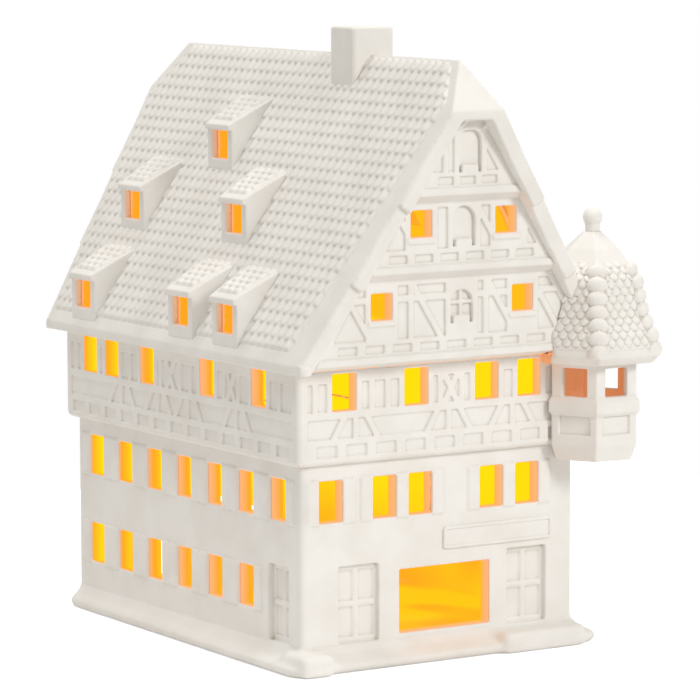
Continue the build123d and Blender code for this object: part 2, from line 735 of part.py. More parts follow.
# Turret body: tapered foot, panelled parapet, swelling sill and open windows
turret_x = upper_half_width + turret_out_x
turret_y = -upper_half_depth - turret_out_y
turret_mitre = cos(radians(180 / turret_sides))
apothem = turret_radius * turret_mitre
turret_bottom = lower_top - turret_hang
turret_floor = turret_bottom + turret_floor_lift
turret_taper_top = turret_bottom + turret_taper_height
turret_sill_bottom = turret_bottom + turret_sill_lift
turret_sill_top = turret_sill_bottom + turret_sill_height
turret_head = turret_sill_top + turret_window_height + turret_head_band
turret_panel_z = turret_bottom + turret_panel_lift + turret_panel_height / 2
with BuildPart() as turret_bay:
    for height, radius in ((turret_bottom, turret_foot_radius), (turret_taper_top, turret_radius)):
        with BuildSketch(Plane.XY.offset(height)):
            with Locations((turret_x, turret_y)):
                RegularPolygon(radius, turret_sides)
    loft(ruled=True)
    with BuildSketch(Plane.XY.offset(turret_taper_top)):
        with Locations((turret_x, turret_y)):
            RegularPolygon(turret_radius, turret_sides)
    extrude(amount=turret_head - turret_taper_top)
    for height, radius in ((turret_sill_bottom - turret_sill_chamfer, turret_radius),
                           (turret_sill_bottom, turret_sill_radius),
                           (turret_sill_top - turret_sill_chamfer, turret_sill_radius),
                           (turret_sill_top, turret_radius)):
        with BuildSketch(Plane.XY.offset(height)):
            with Locations((turret_x, turret_y)):
                RegularPolygon(radius, turret_sides)
    loft(ruled=True)
    with BuildSketch(Plane.XY.offset(turret_floor)):
        with Locations((turret_x, turret_y)):
            RegularPolygon(turret_radius - turret_wall / turret_mitre, turret_sides)
    extrude(amount=turret_head - turret_floor, mode=Mode.SUBTRACT)
    for angle in turret_window_angles:
        outward = (sin(radians(angle)), -cos(radians(angle)), 0)
        across = (cos(radians(angle)), sin(radians(angle)), 0)
        middle = (turret_x + apothem * outward[0], turret_y + apothem * outward[1], 0)
        turret_face = Plane(origin=middle, x_dir=across, z_dir=outward)
        with BuildSketch(turret_face):
            with Locations((0, turret_panel_z)):
                Rectangle(turret_panel_width, turret_panel_height)
        extrude(amount=-relief, mode=Mode.SUBTRACT)
        with BuildSketch(turret_face):
            with Locations((0, turret_sill_top + turret_window_height / 2)):
                Rectangle(turret_window_width, turret_window_height)
        extrude(amount=-2 * turret_wall, mode=Mode.SUBTRACT)
    add(house_mass.part, mode=Mode.SUBTRACT)
finish(turret_bay, "turret_bay")

# Turret roof: a bell on a flared skirt, trimmed against the gable
turret_sections = [(turret_head, turret_eave_radius - turret_eave_height)]
for rise, radius in ((turret_eave_height, turret_eave_radius),
                     (turret_skirt_height, turret_skirt_radius),
                     (turret_waist_height, turret_waist_radius),
                     (turret_shoulder_height, turret_shoulder_radius),
                     (turret_crown_height, turret_crown_radius),
                     (turret_neck_height, turret_neck_radius)):
    turret_sections.append((turret_sections[-1][0] + rise, radius))
with BuildPart() as turret_roof:
    for height, radius in turret_sections:
        with BuildSketch(Plane.XY.offset(height)):
            with Locations((turret_x, turret_y)):
                RegularPolygon(radius, turret_sides)
    loft(ruled=True)
    add(house_mass.part, mode=Mode.SUBTRACT)
    add(roofs["right"].part, mode=Mode.SUBTRACT)
    add(gables["front"].part, mode=Mode.SUBTRACT)
    with BuildSketch(Plane.YZ.offset(turret_x - turret_trim)):
        Rectangle(reach, reach)
    extrude(amount=-reach, mode=Mode.SUBTRACT)
finish(turret_roof, "turret_roof")

turret_top = turret_sections[-1][0]
with BuildPart() as turret_finial:
    with BuildSketch(Plane.XY.offset(turret_top)):
        with Locations((turret_x, turret_y)):
            Circle(finial_neck_radius)
    extrude(amount=finial_neck_height)
    with Locations((turret_x, turret_y, turret_top + finial_neck_height + finial_ball_radius - finial_sink)):
        Sphere(finial_ball_radius)
finish(turret_finial, "turret_finial")

# Battery tealight
light_floor = base_height + clearance
dish_floor = light_height - dish_depth
light_plane = Plane(origin=(0, light_y, light_floor), x_dir=(1, 0, 0), z_dir=(0, -1, 0))
light_axis = Axis((0, light_y, 0), (0, 0, 1))
with BuildPart() as light_housing:
    with BuildSketch(light_plane):
        Polygon((light_radius, 0), (light_radius - light_draft, light_height), (dish_radius, light_height),
                (dish_radius - dish_depth, dish_floor), (flame_seat_radius, dish_floor),
                (flame_seat_radius, dish_floor - light_wall),
                (light_radius - light_draft - light_wall, dish_floor - light_wall),
                (light_radius - light_wall, 0), align=None)
    revolve(axis=light_axis)
finish(light_housing, "light_housing")

flame_belly = dish_floor + flame_belly_share * flame_height
flame_waist = dish_floor + flame_waist_share * flame_height
flame_shoulder = dish_floor + flame_shoulder_share * flame_height
flame_tip = dish_floor + flame_height
with BuildPart() as light_flame:
    with BuildSketch(light_plane):
        with BuildLine():
            Line((flame_seat_radius, dish_floor), (flame_seat_radius + flame_wall, dish_floor))
            ThreePointArc((flame_seat_radius + flame_wall, dish_floor), (flame_radius, flame_belly),
                          (flame_radius / 2, flame_shoulder))
            Polyline((flame_radius / 2, flame_shoulder), (0, flame_tip), (0, flame_shoulder))
            ThreePointArc((0, flame_shoulder), (flame_radius / 2, flame_waist),
                          (flame_seat_radius, dish_floor))
        make_face()
    revolve(axis=light_axis)
finish(light_flame, "light_flame")

cover_bottom = light_floor + light_foot_gap
cover_top = cover_bottom + cover_thickness
cell_bottom = cover_top + clearance
cell_top = cell_bottom + cell_height
board_bottom = cell_top + contact_thickness + contact_rise
base_top = cover_bottom + light_base_thickness
housing_taper = light_draft * (light_foot_gap + light_base_thickness) / (dish_floor - light_wall)
with BuildPart() as light_base:
    with BuildSketch(Plane.XY.offset(cover_bottom)):
        with Locations((0, light_y)):
            Circle(light_radius - light_wall - housing_taper - clearance)
    extrude(amount=light_base_thickness)
    with BuildSketch(Plane.XY.offset(base_top)):
        with Locations((cover_offset, light_y)):
            Circle(cover_radius + clearance)
    extrude(amount=board_bottom - base_top)
    with BuildSketch(Plane.XY.offset(cover_bottom)):
        with Locations((cover_offset, light_y)):
            Circle(cover_radius + clearance - cover_flange)
    extrude(amount=board_bottom - cover_bottom, mode=Mode.SUBTRACT)
    with BuildSketch(Plane.XY.offset(cover_bottom)):
        with Locations((cover_offset, light_y)):
            Circle(cover_radius + clearance)
        with Locations((switch_offset, light_y)):
            Rectangle(switch_width + 2 * clearance, switch_length + switch_travel + 2 * clearance)
    extrude(amount=cover_thickness + clearance, mode=Mode.SUBTRACT)
    with BuildSketch(Plane.XY.offset(cover_bottom)):
        with Locations((switch_offset, light_y)):
            Rectangle(switch_width + 2 * clearance, switch_length + switch_travel + 2 * clearance)
    extrude(amount=light_base_thickness, mode=Mode.SUBTRACT)
finish(light_base, "light_base")

with BuildPart() as battery_cover:
    with BuildSketch(Plane.XY.offset(cover_bottom)):
        with Locations((cover_offset, light_y)):
            Circle(cover_radius)
    extrude(amount=cover_thickness)
    with BuildSketch(Plane.XY.offset(cover_bottom)):
        with Locations((cover_offset, light_y)):
            SlotOverall(coin_slot_length, coin_slot_width)
    extrude(amount=coin_slot_depth, mode=Mode.SUBTRACT)
finish(battery_cover, "battery_cover")

with BuildPart() as coin_cell:
    with BuildSketch(Plane.XY.offset(cell_bottom)):
        with Locations((cover_offset, light_y)):
            Circle(cell_radius)
    extrude(amount=cell_height)
finish(coin_cell, "coin_cell")

with BuildPart() as battery_contact:
    with BuildSketch(Plane.XZ.offset(-light_y - contact_width / 2)):
        Polygon((cover_offset - cell_radius / 2, cell_top), (cover_offset + cell_radius / 2, cell_top),
                (cover_offset + cell_radius / 2, board_bottom),
                (cover_offset + cell_radius / 2 - contact_thickness, board_bottom),
                (cover_offset + cell_radius / 2 - contact_thickness, cell_top + contact_thickness),
                (cover_offset - cell_radius / 2, cell_top + contact_thickness), align=None)
    extrude(amount=contact_width)
finish(battery_contact, "battery_contact")

board_top = board_bottom + board_thickness
with BuildPart() as circuit_board:
    with BuildSketch(Plane.XY.offset(board_bottom)):
        with Locations((cover_offset, light_y)):
            Rectangle(board_length, board_width)
    extrude(amount=board_thickness)
finish(circuit_board, "circuit_board")

with BuildPart() as led_lamp:
    with BuildSketch(Plane.XY.offset(board_top)):
        with Locations((0, light_y)):
            Circle(lamp_flange_radius)
    extrude(amount=lamp_flange_height)
    with BuildSketch(Plane.XY.offset(board_top)):
        with Locations((0, light_y)):
            Circle(lamp_radius)
    extrude(amount=lamp_height)
    fillet(led_lamp.faces().sort_by(Axis.Z)[-1].edges(), lamp_dome_share * lamp_radius)
finish(led_lamp, "led_lamp")

with BuildPart() as switch_slider:
    with BuildSketch(Plane.XY.offset(cover_bottom)):
        with Locations((switch_offset, light_y - switch_travel / 2)):
            Rectangle(switch_width, switch_length)
    extrude(amount=light_base_thickness + clearance)
    with BuildSketch(Plane.XY.offset(base_top + clearance)):
        with Locations((switch_offset, light_y - switch_travel / 2)):
            Rectangle(switch_width + 2 * switch_flange, switch_length + 2 * switch_flange)
    extrude(amount=switch_flange)
finish(switch_slider, "switch_slider")
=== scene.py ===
"""Finish of the porcelain light house: soft castings, roof tiles, turret, lamp glow and studio stage."""

import math

import bmesh
import bpy
import numpy
from bpy.props import FloatProperty, FloatVectorProperty, IntProperty, PointerProperty
from mathutils import Matrix, Vector, noise
from mathutils.bvhtree import BVHTree


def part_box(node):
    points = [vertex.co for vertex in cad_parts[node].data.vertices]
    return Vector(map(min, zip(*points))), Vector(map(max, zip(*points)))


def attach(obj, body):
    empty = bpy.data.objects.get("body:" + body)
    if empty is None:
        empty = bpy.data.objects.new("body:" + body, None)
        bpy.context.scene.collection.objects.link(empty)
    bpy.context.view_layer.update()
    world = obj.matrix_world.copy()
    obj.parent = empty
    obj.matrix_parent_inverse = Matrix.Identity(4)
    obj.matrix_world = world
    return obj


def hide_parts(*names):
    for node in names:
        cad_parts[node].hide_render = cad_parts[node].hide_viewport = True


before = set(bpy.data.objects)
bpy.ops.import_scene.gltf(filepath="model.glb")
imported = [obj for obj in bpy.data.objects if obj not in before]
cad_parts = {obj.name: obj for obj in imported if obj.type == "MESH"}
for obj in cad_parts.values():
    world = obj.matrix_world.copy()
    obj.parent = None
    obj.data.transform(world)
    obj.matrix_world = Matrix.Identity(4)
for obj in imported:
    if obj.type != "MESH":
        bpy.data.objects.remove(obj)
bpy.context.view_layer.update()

bl_info = {
    "name": "Porcelain Light House",
    "version": (1, 0, 0),
    "blender": (4, 5, 0),
    "location": "View3D > Sidebar > Light House",
    "description": "Dresses a packed porcelain light house and sets it on a studio stage",
    "category": "Object",
}

MM = 0.001
SIDES = {"left": -1, "right": 1}
ENDS = {"front": -1, "rear": 1}
LAMP_WORDS = ("light", "battery", "coin", "circuit", "led", "switch")
HOUSE_NODES = [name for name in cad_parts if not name.startswith(LAMP_WORDS)]

# How brightly the lamp lights each place, from 0 to 1
ATTIC_GLOW = 0.74
DORMER_GLOW = 0.62
JAMB_GLOW = 0.36
SEAM_GLOW = 0.29
TURRET_GLOW = 0.24

# Depth of the painted shade in the creases
CREASE_SHADE = 2.1
TILE_CREASE_SHADE = 1.2
SCALE_CREASE_SHADE = 3.2


class HouseSizes(bpy.types.PropertyGroup):
    """Sizes of the house that the finish is set out from."""

    wall: FloatProperty(name="Wall", description="Thickness of the cast walls",
                        default=4.2 * MM, unit="LENGTH")
    rim: FloatProperty(name="Rim", description="Depth of the unlit rim round an opening",
                       default=0.3 * MM, unit="LENGTH")
    half_width: FloatProperty(name="Half width", description="Middle to the outside of a lower side wall",
                              default=43.0 * MM, unit="LENGTH")
    half_depth: FloatProperty(name="Half depth", description="Middle to the outside of a lower end wall",
                              default=59.7 * MM, unit="LENGTH")
    jetty: FloatProperty(name="Jetty", description="How far the upper storey stands out",
                         default=2.4 * MM, unit="LENGTH")
    floor: FloatProperty(name="Floor", description="Height of the floor slab",
                         default=6.5 * MM, unit="LENGTH")
    ceiling: FloatProperty(name="Ceiling", description="Height of the lower walls",
                           default=54.2 * MM, unit="LENGTH")
    soffit: FloatProperty(name="Soffit", description="Height of the upper walls",
                          default=78.7 * MM, unit="LENGTH")
    gable_out: FloatProperty(name="Gable", description="How far the lowest gable stage stands out",
                             default=5.5 * MM, unit="LENGTH")
    stage_out: FloatProperty(name="Stage", description="How far each gable stage steps out",
                             default=2.6 * MM, unit="LENGTH")
    stage_one: FloatProperty(name="Second stage", description="Height of the second gable stage's floor",
                             default=101.8 * MM, unit="LENGTH")
    stage_two: FloatProperty(name="Third stage", description="Height of the third gable stage's floor",
                             default=121.7 * MM, unit="LENGTH")


class RoofSizes(bpy.types.PropertyGroup):
    """Sizes of the main roof and its dormers."""

    eave_x: FloatProperty(name="Eave", description="Middle to the eave's edge",
                          default=48.2 * MM, unit="LENGTH")
    eave_z: FloatProperty(name="Eave height", description="Height of the eave's upper edge",
                          default=80.9 * MM, unit="LENGTH")
    pitch: FloatProperty(name="Pitch", description="Slope of the main roof",
                         default=math.radians(58), subtype="ANGLE")
    thickness: FloatProperty(name="Slab", description="Thickness of the roof slab",
                             default=4.2 * MM, unit="LENGTH")
    verge: FloatProperty(name="Verge", description="Middle to the roof's end at the eave",
                         default=68.0 * MM, unit="LENGTH")
    verge_lean: FloatProperty(name="Verge lean", description="Outward lean of the roof's ends",
                              default=0.155)
    hip_eave: FloatProperty(name="Hip eave", description="Middle to the lower edge of a half-hip",
                            default=77.94 * MM, unit="LENGTH")
    hip_eave_z: FloatProperty(name="Hip eave height", description="Height of a half-hip's lower edge",
                              default=145.04 * MM, unit="LENGTH")
    ridge_end: FloatProperty(name="Ridge end", description="Middle to the end of the ridge",
                             default=69.24 * MM, unit="LENGTH")
    dormer_height: FloatProperty(name="Dormer height", description="Height of a dormer's front",
                                 default=13.5 * MM, unit="LENGTH")
    dormer_front: FloatProperty(name="Dormer front", description="Width of a dormer's front",
                                default=12.4 * MM, unit="LENGTH")
    dormer_back: FloatProperty(name="Dormer back", description="Width of a dormer where it meets the slope",
                               default=18.0 * MM, unit="LENGTH")
    dormer_pitch: FloatProperty(name="Dormer pitch", description="Slope of a dormer's roof",
                                default=math.radians(28.6), subtype="ANGLE")
    dormer_lip: FloatProperty(name="Dormer lip", description="How far a dormer's roof stands out",
                              default=1.0 * MM, unit="LENGTH")
    window_width: FloatProperty(name="Dormer window", description="Width of a dormer's window",
                                default=8.2 * MM, unit="LENGTH")
    window_height: FloatProperty(name="Dormer window height", description="Height of a dormer's window",
                                 default=8.4 * MM, unit="LENGTH")
    window_lift: FloatProperty(name="Dormer sill", description="Window above the foot of a dormer's front",
                               default=3.5 * MM, unit="LENGTH")
    reveal: FloatProperty(name="Reveal", description="Unlit depth of a dormer's window",
                          default=2.0 * MM, unit="LENGTH")


class TileSizes(bpy.types.PropertyGroup):
    """Sizes of the pressed roof tiles."""

    width: FloatProperty(name="Width", description="Width of a tile", default=3.4 * MM, unit="LENGTH")
    row: FloatProperty(name="Row", description="Length of a tile that shows",
                       default=3.45 * MM, unit="LENGTH")
    small_row: FloatProperty(name="Dormer row", description="Length that shows on a dormer",
                             default=2.4 * MM, unit="LENGTH")
    thick: FloatProperty(name="Thickness", description="Height of a tile's foot over the next tile",
                         default=0.52 * MM, unit="LENGTH")
    crown: FloatProperty(name="Crown", description="Rise of a tile's middle over its sides",
                         default=0.6 * MM, unit="LENGTH")
    tail: FloatProperty(name="Tail", description="How far the foot of a tile is rounded",
                        default=1.3 * MM, unit="LENGTH")
    soft: FloatProperty(name="Softness", description="Rounding of a tile's foot",
                        default=0.7 * MM, unit="LENGTH")
    fade: FloatProperty(name="Fade", description="Width over which the tiles sink into a smooth border",
                        default=1.4 * MM, unit="LENGTH")
    sunk: FloatProperty(name="Sunk", description="How deep the tiles are pressed into the slope",
                        default=0.12 * MM, unit="LENGTH")
    grid: FloatProperty(name="Grid", description="Spacing of the mesh that carries the tiles",
                        default=0.37 * MM, unit="LENGTH")


class CastSizes(bpy.types.PropertyGroup):
    """How finely and softly the pieces are cast."""

    grain: FloatProperty(name="Grain", description="Size of the cells that a casting is made from",
                         default=0.3 * MM, unit="LENGTH")
    fine_grain: FloatProperty(name="Fine grain", description="Cells of the small castings",
                              default=0.24 * MM, unit="LENGTH")
    swell: FloatProperty(name="Swell", description="Growth that closes the luted seams again",
                         default=0.08 * MM, unit="LENGTH")
    rubbing: IntProperty(name="Rubbing", description="How often the sharp edges are rubbed down", default=2)
    most: IntProperty(name="Most triangles", description="Limit for one large casting", default=190000)


class TurretSizes(bpy.types.PropertyGroup):
    """Sizes of the corner turret."""

    axis_x: FloatProperty(name="Axis across", description="Turret's middle to the right of the house's",
                          default=46.3 * MM, unit="LENGTH")
    axis_y: FloatProperty(name="Axis along", description="Turret's middle in front of the house's",
                          default=-63.6 * MM, unit="LENGTH")
    radius: FloatProperty(name="Radius", description="Corners of the turret's walls from its middle",
                          default=12.9 * MM, unit="LENGTH")
    wall: FloatProperty(name="Wall", description="Thickness of the turret's walls",
                        default=2.2 * MM, unit="LENGTH")
    floor: FloatProperty(name="Floor", description="Height of the turret's floor",
                         default=60.0 * MM, unit="LENGTH")
    knob: FloatProperty(name="Knob", description="Half width of a knob on the hips",
                        default=2.6 * MM, unit="LENGTH")
    knob_step: FloatProperty(name="Knob step", description="Distance between knobs up a hip",
                             default=3.7 * MM, unit="LENGTH")
    scale_width: FloatProperty(name="Scale", description="Width of a roof scale",
                               default=2.7 * MM, unit="LENGTH")
    scale_row: FloatProperty(name="Scale row", description="Length of a scale that shows",
                             default=2.0 * MM, unit="LENGTH")


class PlateSizes(bpy.types.PropertyGroup):
    """Sizes of the bare sign plate."""

    middle: FloatProperty(name="Middle", description="Plate's middle to the right of the house's",
                          default=18.25 * MM, unit="LENGTH")
    lift: FloatProperty(name="Lift", description="Height of the plate's middle",
                        default=31.9 * MM, unit="LENGTH")
    length: FloatProperty(name="Length", description="Length of the plate", default=34.7 * MM, unit="LENGTH")
    height: FloatProperty(name="Height", description="Height of the plate", default=5.8 * MM, unit="LENGTH")
    thickness: FloatProperty(name="Thickness", description="How far the plate stands out",
                             default=0.8 * MM, unit="LENGTH")


class FinishColours(bpy.types.PropertyGroup):
    """Colours of the fired clay, of the painted shade in its creases and of the light inside."""

    clay: FloatVectorProperty(name="Clay", description="Unglazed porcelain", subtype="COLOR", size=4,
                              default=(0.86, 0.842, 0.81, 1))
    clay_shade: FloatVectorProperty(name="Clay shade", description="Darker patches of the porcelain",
                                    subtype="COLOR", size=4, default=(0.81, 0.785, 0.745, 1))
    # Painted shade: the darker colour put into the corners of the relief, where shade falls
    crease_shade: FloatVectorProperty(name="Crease", description="Clay in the corners of the relief",
                                subtype="COLOR", size=4, default=(0.56, 0.51, 0.44, 1))
    dim: FloatVectorProperty(name="Dim glow", description="Faintly lit clay", subtype="COLOR", size=4,
                             default=(0.34, 0.10, 0.022, 1))
    rim: FloatVectorProperty(name="Rim glow", description="Outer edge of the lit jambs", subtype="COLOR",
                             size=4, default=(0.92, 0.44, 0.235, 1))
    jamb: FloatVectorProperty(name="Jamb glow", description="Lit window jambs", subtype="COLOR", size=4,
                              default=(1.0, 0.40, 0.13, 1))
    dormer: FloatVectorProperty(name="Dormer glow", description="Lit attic behind the dormers",
                                subtype="COLOR", size=4, default=(1.0, 0.352, 0.013, 1))
    room: FloatVectorProperty(name="Room glow", description="Lit rooms behind the windows", subtype="COLOR",
                              size=4, default=(1.0, 0.70, 0.003, 1))


class StageSizes(bpy.types.PropertyGroup):
    """Camera and studio light."""

    lens: FloatProperty(name="Lens", description="Focal length in millimetres on a 36 mm sensor",
                        default=206.7, min=1)
    azimuth: FloatProperty(name="Azimuth", description="Camera's turn to the left of the front",
                           default=math.radians(-32.48), subtype="ANGLE")
    elevation: FloatProperty(name="Elevation", description="Camera's height over the level",
                             default=math.radians(6.73), subtype="ANGLE")
    roll: FloatProperty(name="Roll", description="Camera's lean",
                        default=math.radians(-0.15), subtype="ANGLE")
    camera: FloatVectorProperty(name="Camera", description="Place of the camera", subtype="TRANSLATION",
                                default=(-581.33 * MM, -929.11 * MM, 205.18 * MM))
    key: FloatProperty(name="Key", description="Power of the key light in watts", default=4.7)
    key_place: FloatVectorProperty(name="Key place", description="Place of the key light",
                                   subtype="TRANSLATION", default=(0.24, -0.96, 0.6))
    top: FloatProperty(name="Top", description="Power of the overhead light in watts", default=7.8)
    top_place: FloatVectorProperty(name="Top place", description="Place of the overhead light",
                                   subtype="TRANSLATION", default=(-0.26, 0.25, 1.35))
    fill: FloatVectorProperty(name="Fill", description="Light from all round", subtype="COLOR", size=4,
                              default=(0.542, 0.521, 0.486, 1))


class LightHouse(bpy.types.PropertyGroup):
    """Everything that a user would change on the light house."""

    house: PointerProperty(type=HouseSizes)
    roof: PointerProperty(type=RoofSizes)
    tiles: PointerProperty(type=TileSizes)
    cast: PointerProperty(type=CastSizes)
    turret: PointerProperty(type=TurretSizes)
    plate: PointerProperty(type=PlateSizes)
    colours: PointerProperty(type=FinishColours)
    stage: PointerProperty(type=StageSizes)


def settings():
    """The scene's own sizes and colours."""
    return bpy.context.scene.light_house


def held(value):
    """A value held between 0 and 1."""
    return min(max(value, 0), 1)


def solid_copy(*nodes):
    """A merged copy of the solids of some nodes, to work on."""
    bm = bmesh.new()
    for node in nodes:
        bm.from_mesh(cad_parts[node].data)
    bmesh.ops.remove_doubles(bm, verts=bm.verts, dist=0.001 * MM)
    return bm


def take_mesh(piece):
    """The piece's mesh with its modifiers applied."""
    graph = bpy.context.evaluated_depsgraph_get()
    mesh = bpy.data.meshes.new_from_object(piece.evaluated_get(graph))
    piece.modifiers.clear()
    piece.data = mesh
    return mesh


def new_piece(name, bm, body):
    """A piece from a finished bmesh, riding on a body."""
    mesh = bpy.data.meshes.new(name)
    bm.to_mesh(mesh)
    bm.free()
    mesh.shade_smooth()
    piece = bpy.data.objects.new(name, mesh)
    bpy.context.collection.objects.link(piece)
    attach(piece, body)
    return piece


def soften(piece, chosen, times):
    """Rub down part of a casting further."""
    group = piece.vertex_groups.new(name="rubbed")
    group.add([vert.index for vert in piece.data.vertices if chosen(vert.co)], 1, "REPLACE")
    rub = piece.modifiers.new("rub more", "SMOOTH")
    rub.factor = 0.5
    rub.iterations = times
    rub.vertex_group = group.name
    take_mesh(piece)
    piece.vertex_groups.clear()


def cast_shape(name, bm, grain, rubbing, most, softer=()):
    """One soft-edged casting from rough shapes that may overlap, softer still in some places."""
    piece = new_piece(name, bm, "house")
    melt = piece.modifiers.new("melt", "REMESH")
    melt.mode = "VOXEL"
    melt.voxel_size = grain * 1
    rub = piece.modifiers.new("rub", "SMOOTH")
    rub.factor = 0.5
    rub.iterations = rubbing
    swell = piece.modifiers.new("swell", "DISPLACE")
    swell.mid_level = 0
    swell.strength = settings().cast.swell
    take_mesh(piece)
    for chosen, times in softer:
        soften(piece, chosen, times)
    mesh = piece.data
    count = 2 * len(mesh.polygons)
    if count > most:
        thin = piece.modifiers.new("thin", "DECIMATE")
        thin.ratio = most / count
        mesh = take_mesh(piece)
    mesh.name = name
    mesh.shade_smooth()
    return piece


def hold_inside(piece, nodes):
    """Keep a casting inside the box of its nodes."""
    boxes = [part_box(node) for node in nodes]
    low = [min(box[0][axis] for box in boxes) for axis in range(3)]
    high = [max(box[1][axis] for box in boxes) for axis in range(3)]
    for vert in piece.data.vertices:
        vert.co = [min(max(vert.co[axis], low[axis]), high[axis]) for axis in range(3)]


def cast_piece(name, nodes, grain, rubbing, most, added=None, softer=()):
    """One casting of some nodes and added shapes, held inside the nodes' box."""
    bm = solid_copy(*nodes)
    if added:
        added(bm)
    piece = cast_shape(name, bm, grain, rubbing, most, softer)
    hold_inside(piece, nodes)
    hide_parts(*nodes)
    return piece


def add_box(bm, low, high):
    """A plain block between two corners."""
    size = [abs(b - a) for a, b in zip(low, high)]
    middle = [(a + b) / 2 for a, b in zip(low, high)]
    bmesh.ops.create_cube(bm, size=1, matrix=Matrix.Translation(middle) @ Matrix.Diagonal((*size, 1)))


def add_hull(bm, corners):
    """The block that a few corners span."""
    bmesh.ops.convex_hull(bm, input=[bm.verts.new(corner) for corner in corners])


def store_crease_shade(piece, depth):
    """Keep on each point how hollow the surface is there, times a depth of painted shade for the creases."""
    mesh = piece.data
    longest = 0.3 * MM
    count = len(mesh.vertices)
    places = numpy.empty(3 * count)
    mesh.vertices.foreach_get("co", places)
    places = places.reshape(count, 3)
    normals = numpy.empty(3 * count)
    mesh.vertex_normals.foreach_get("vector", normals)
    normals = normals.reshape(count, 3)
    ends = numpy.empty(2 * len(mesh.edges), dtype=numpy.int32)
    mesh.edges.foreach_get("vertices", ends)
    first, second = ends.reshape(-1, 2).T
    reach = places[second] - places[first]
    length = numpy.maximum(numpy.linalg.norm(reach, axis=1, keepdims=True), 1e-9)
    reach *= numpy.minimum(longest / length, 1) / length
    shares = numpy.maximum(numpy.bincount(ends, minlength=count), 1)
    hollow = numpy.bincount(first, (reach * normals[first]).sum(axis=1), count)
    hollow -= numpy.bincount(second, (reach * normals[second]).sum(axis=1), count)
    hollow /= shares
    spread = numpy.bincount(first, hollow[second], count) + numpy.bincount(second, hollow[first], count)
    # Painted shade: the hollowness sets how far the clay is darkened in each crease
    hollow = numpy.clip(depth * (hollow + spread / shares), 0, 1)
    mesh.attributes.new("crease_shade", "FLOAT", "POINT").data.foreach_set("value", hollow.astype(numpy.float32))


def store_glow(piece, share):
    """Keep on each point how brightly the lamp inside lights it."""
    glow = piece.data.attributes.new("glow", "FLOAT", "POINT")
    for vert, value in zip(piece.data.vertices, glow.data):
        value.value = share(vert.co, vert.normal)


def ramp_node(nodes, stops):
    """A colour ramp with these places and colours."""
    ramp = nodes.new("ShaderNodeValToRGB")
    elements = ramp.color_ramp.elements
    while len(elements) < len(stops):
        elements.new(1)
    for element, (place, colour) in zip(elements, stops):
        element.position = place
        element.color = colour
    return ramp


def noise_node(tree, scale, detail):
    """Noise on the object's own coordinates."""
    place = tree.nodes.new("ShaderNodeTexCoord")
    cloud = tree.nodes.new("ShaderNodeTexNoise")
    cloud.inputs["Scale"].default_value = scale
    cloud.inputs["Detail"].default_value = detail
    tree.links.new(place.outputs["Object"], cloud.inputs["Vector"])
    return cloud


def bump_node(tree, height, strength, distance):
    """Bump from a height, in metres."""
    bump = tree.nodes.new("ShaderNodeBump")
    bump.inputs["Strength"].default_value = strength
    bump.inputs["Distance"].default_value = distance
    tree.links.new(height, bump.inputs["Height"])
    return bump


def fresh_material(name):
    """An empty node material and its surface shader."""
    material = bpy.data.materials.new(name)
    material.use_nodes = True
    return material, material.node_tree, material.node_tree.nodes["Principled BSDF"]


def bisque_material():
    """Unglazed porcelain with painted shade in its creases, lit through where the lamp reaches it."""
    made = bpy.data.materials.get("bisque_porcelain")
    if made:
        return made
    colours = settings().colours
    material, tree, shader = fresh_material("bisque_porcelain")
    link = tree.links.new
    shader.inputs["Roughness"].default_value = 0.72
    shader.inputs["Specular IOR Level"].default_value = 0.22
    patches = noise_node(tree, 85, 4)
    clay = ramp_node(tree.nodes, ((0.32, colours.clay_shade), (0.62, colours.clay)))
    link(patches.outputs["Fac"], clay.inputs["Fac"])
    # Painted shade: the crease attribute mixes the clay towards a darker warm colour in the hollows of the
    # relief
    hollow = tree.nodes.new("ShaderNodeAttribute")
    hollow.attribute_name = "crease_shade"
    painted_crease_shade = tree.nodes.new("ShaderNodeMix")
    painted_crease_shade.data_type = "RGBA"
    painted_crease_shade.inputs["B"].default_value = colours.crease_shade
    link(hollow.outputs["Fac"], painted_crease_shade.inputs["Factor"])
    link(clay.outputs["Color"], painted_crease_shade.inputs["A"])
    glow = tree.nodes.new("ShaderNodeAttribute")
    glow.attribute_name = "glow"
    black = (0, 0, 0, 1)
    lit = ramp_node(tree.nodes, ((0.04, black), (0.22, colours.dim), (JAMB_GLOW, colours.rim),
                                 (0.5, colours.jamb), (DORMER_GLOW, colours.dormer), (1.0, colours.room)))
    link(glow.outputs["Fac"], lit.inputs["Fac"])
    # Painted light: where the lamp glow is painted, the base colour turns dark orange so the painted glow
    # reads flat
    lamp_glow_base = tree.nodes.new("ShaderNodeMix")
    lamp_glow_base.data_type = "RGBA"
    lamp_glow_base.inputs["B"].default_value = (0.22, 0.08, 0.015, 1)
    cover = tree.nodes.new("ShaderNodeMapRange")
    cover.inputs["From Max"].default_value = 0.3
    link(glow.outputs["Fac"], cover.inputs["Value"])
    link(cover.outputs["Result"], lamp_glow_base.inputs["Factor"])
    link(painted_crease_shade.outputs["Result"], lamp_glow_base.inputs["A"])
    link(lamp_glow_base.outputs["Result"], shader.inputs["Base Color"])
    link(lit.outputs["Color"], shader.inputs["Emission Color"])
    shader.inputs["Emission Strength"].default_value = 1.0
    grains = noise_node(tree, 2600, 3)
    waves = noise_node(tree, 170, 2)
    grit = bump_node(tree, grains.outputs["Fac"], 0.25, 0.08 * MM)
    wave = bump_node(tree, waves.outputs["Fac"], 0.35, 0.5 * MM)
    link(wave.outputs["Normal"], grit.inputs["Normal"])
    link(grit.outputs["Normal"], shader.inputs["Normal"])
    return material


